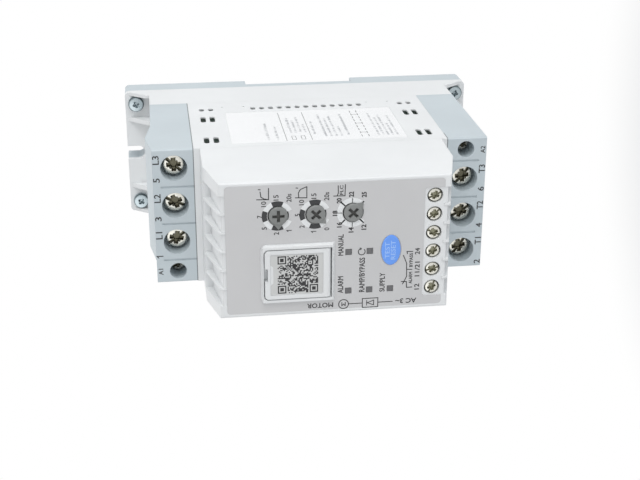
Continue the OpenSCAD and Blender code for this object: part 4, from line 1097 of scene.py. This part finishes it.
def make_floor_paint():
    """Pale floor that fades to a white background with distance from the object, for the eye and for
    mirrors, and is clear from below."""
    material = bpy.data.materials.new("floor_pale")
    material.use_nodes = True
    tree = material.node_tree
    shader = tree.nodes["Principled BSDF"]
    shader.inputs["Base Color"].default_value = linear((240, 241, 242))
    shader.inputs["Roughness"].default_value = 0.7
    white = add_node(tree, "Emission", Strength=1.0)
    place = add_node(tree, "TexCoord")
    centre = add_node(tree, "Mapping", Location=(0.0, -floor_middle[1] * mm, -floor_level * mm))
    away = add_node(tree, "VectorMath", operation="LENGTH")
    fade = add_range(tree, fade_start * mm, fade_end * mm)
    fade.interpolation_type = "SMOOTHSTEP"
    both = add_node(tree, "Math", operation="MULTIPLY")
    blend = add_node(tree, "MixShader")
    face = add_node(tree, "NewGeometry")
    clear = add_node(tree, "BsdfTransparent")
    under = add_node(tree, "MixShader")
    wire(tree, (
        (place, "Object", centre, "Vector"), (centre, "Vector", away, 0),
        (away, "Value", fade, "Value"), (seen_by_eye_or_mirror(tree), "Value", both, 0),
        (fade, "Result", both, 1), (both, "Value", blend, "Fac"),
        (shader, "BSDF", blend, 1), (white, "Emission", blend, 2),
        (face, "Backfacing", under, "Fac"), (blend, "Shader", under, 1),
        (clear, "BSDF", under, 2), (under, "Shader", tree.nodes["Material Output"], "Surface"),
    ))
    return material


floor_points, floor_quads = floor_disc(floor_middle, floor_level, floor_radius)
floor_mesh = bpy.data.meshes.new("floor")
floor_mesh.from_pydata((floor_points * mm).tolist(), [], floor_quads)
floor_mesh.materials.append(make_floor_paint())
floor = add_object("floor", floor_mesh)


def light_world():
    """White round about for the eye and mirrors, an even soft light for everything else."""
    world = bpy.data.worlds.new("studio")
    bpy.context.scene.world = world
    world.use_nodes = True
    tree = world.node_tree
    soft = tree.nodes["Background"]
    soft.inputs["Color"].default_value = (0.98, 0.99, 1.0, 1.0)
    soft.inputs["Strength"].default_value = 0.52
    white = add_node(tree, "Background", Strength=1.0, Color=(1.0, 1.0, 1.0, 1.0))
    blend = add_node(tree, "MixShader")
    wire(tree, (
        (seen_by_eye_or_mirror(tree), "Value", blend, "Fac"), (soft, "Background", blend, 1),
        (white, "Background", blend, 2), (blend, "Shader", tree.nodes["World Output"], "Surface"),
    ))


def facing(place, aim, up):
    """Matrix of a lamp or camera at a place: its -Z looks at the aim, its Y leans towards up."""
    place, aim, up = (np.asarray(v, float) for v in (place, aim, up))
    back = (place - aim) / np.linalg.norm(place - aim)
    right = np.cross(up, back)
    right /= np.linalg.norm(right)
    over = np.cross(back, right)
    matrix = np.eye(4)
    matrix[:3, :4] = np.column_stack([right, over, back, place])
    return Matrix(matrix.tolist())


def softbox(name, place, size, power):
    """Square soft lamp that looks at the middle of the object."""
    lamp = bpy.data.lights.new(name, "AREA")
    lamp.shape = "SQUARE"
    lamp.size = size
    lamp.energy = power
    add_object(name, lamp).matrix_world = facing(place, lamp_aim, upright)


lamp_aim = (0.0, -0.055, 0.0)
upright = (0.0, 0.0, 1.0)
light_world()
softbox("key_softbox", (0.92, -0.42, 0.24), 0.7, 5.4)
softbox("fill_softbox", (-0.5, -0.85, 0.3), 0.8, 1.5)
softbox("back_softbox", (-0.2, 0.4, 0.9), 0.8, 2.4)

camera_place = np.array([0.14655, -0.44435, 0.05133])
camera_forward = np.array([-0.38805, 0.91303, -0.12564])
camera_up = np.array([0.92163, 0.38486, -0.04976])
camera_data = bpy.data.cameras.new("photo_camera")
camera_data.sensor_width = 36.0
camera_data.lens = 70.2
camera_data.clip_start = 0.01
camera_data.clip_end = 20.0
camera = add_object("photo_camera", camera_data)
camera.matrix_world = facing(camera_place, camera_place + camera_forward, camera_up)
bpy.context.scene.camera = camera
bpy.context.scene.view_settings.view_transform = "Standard"
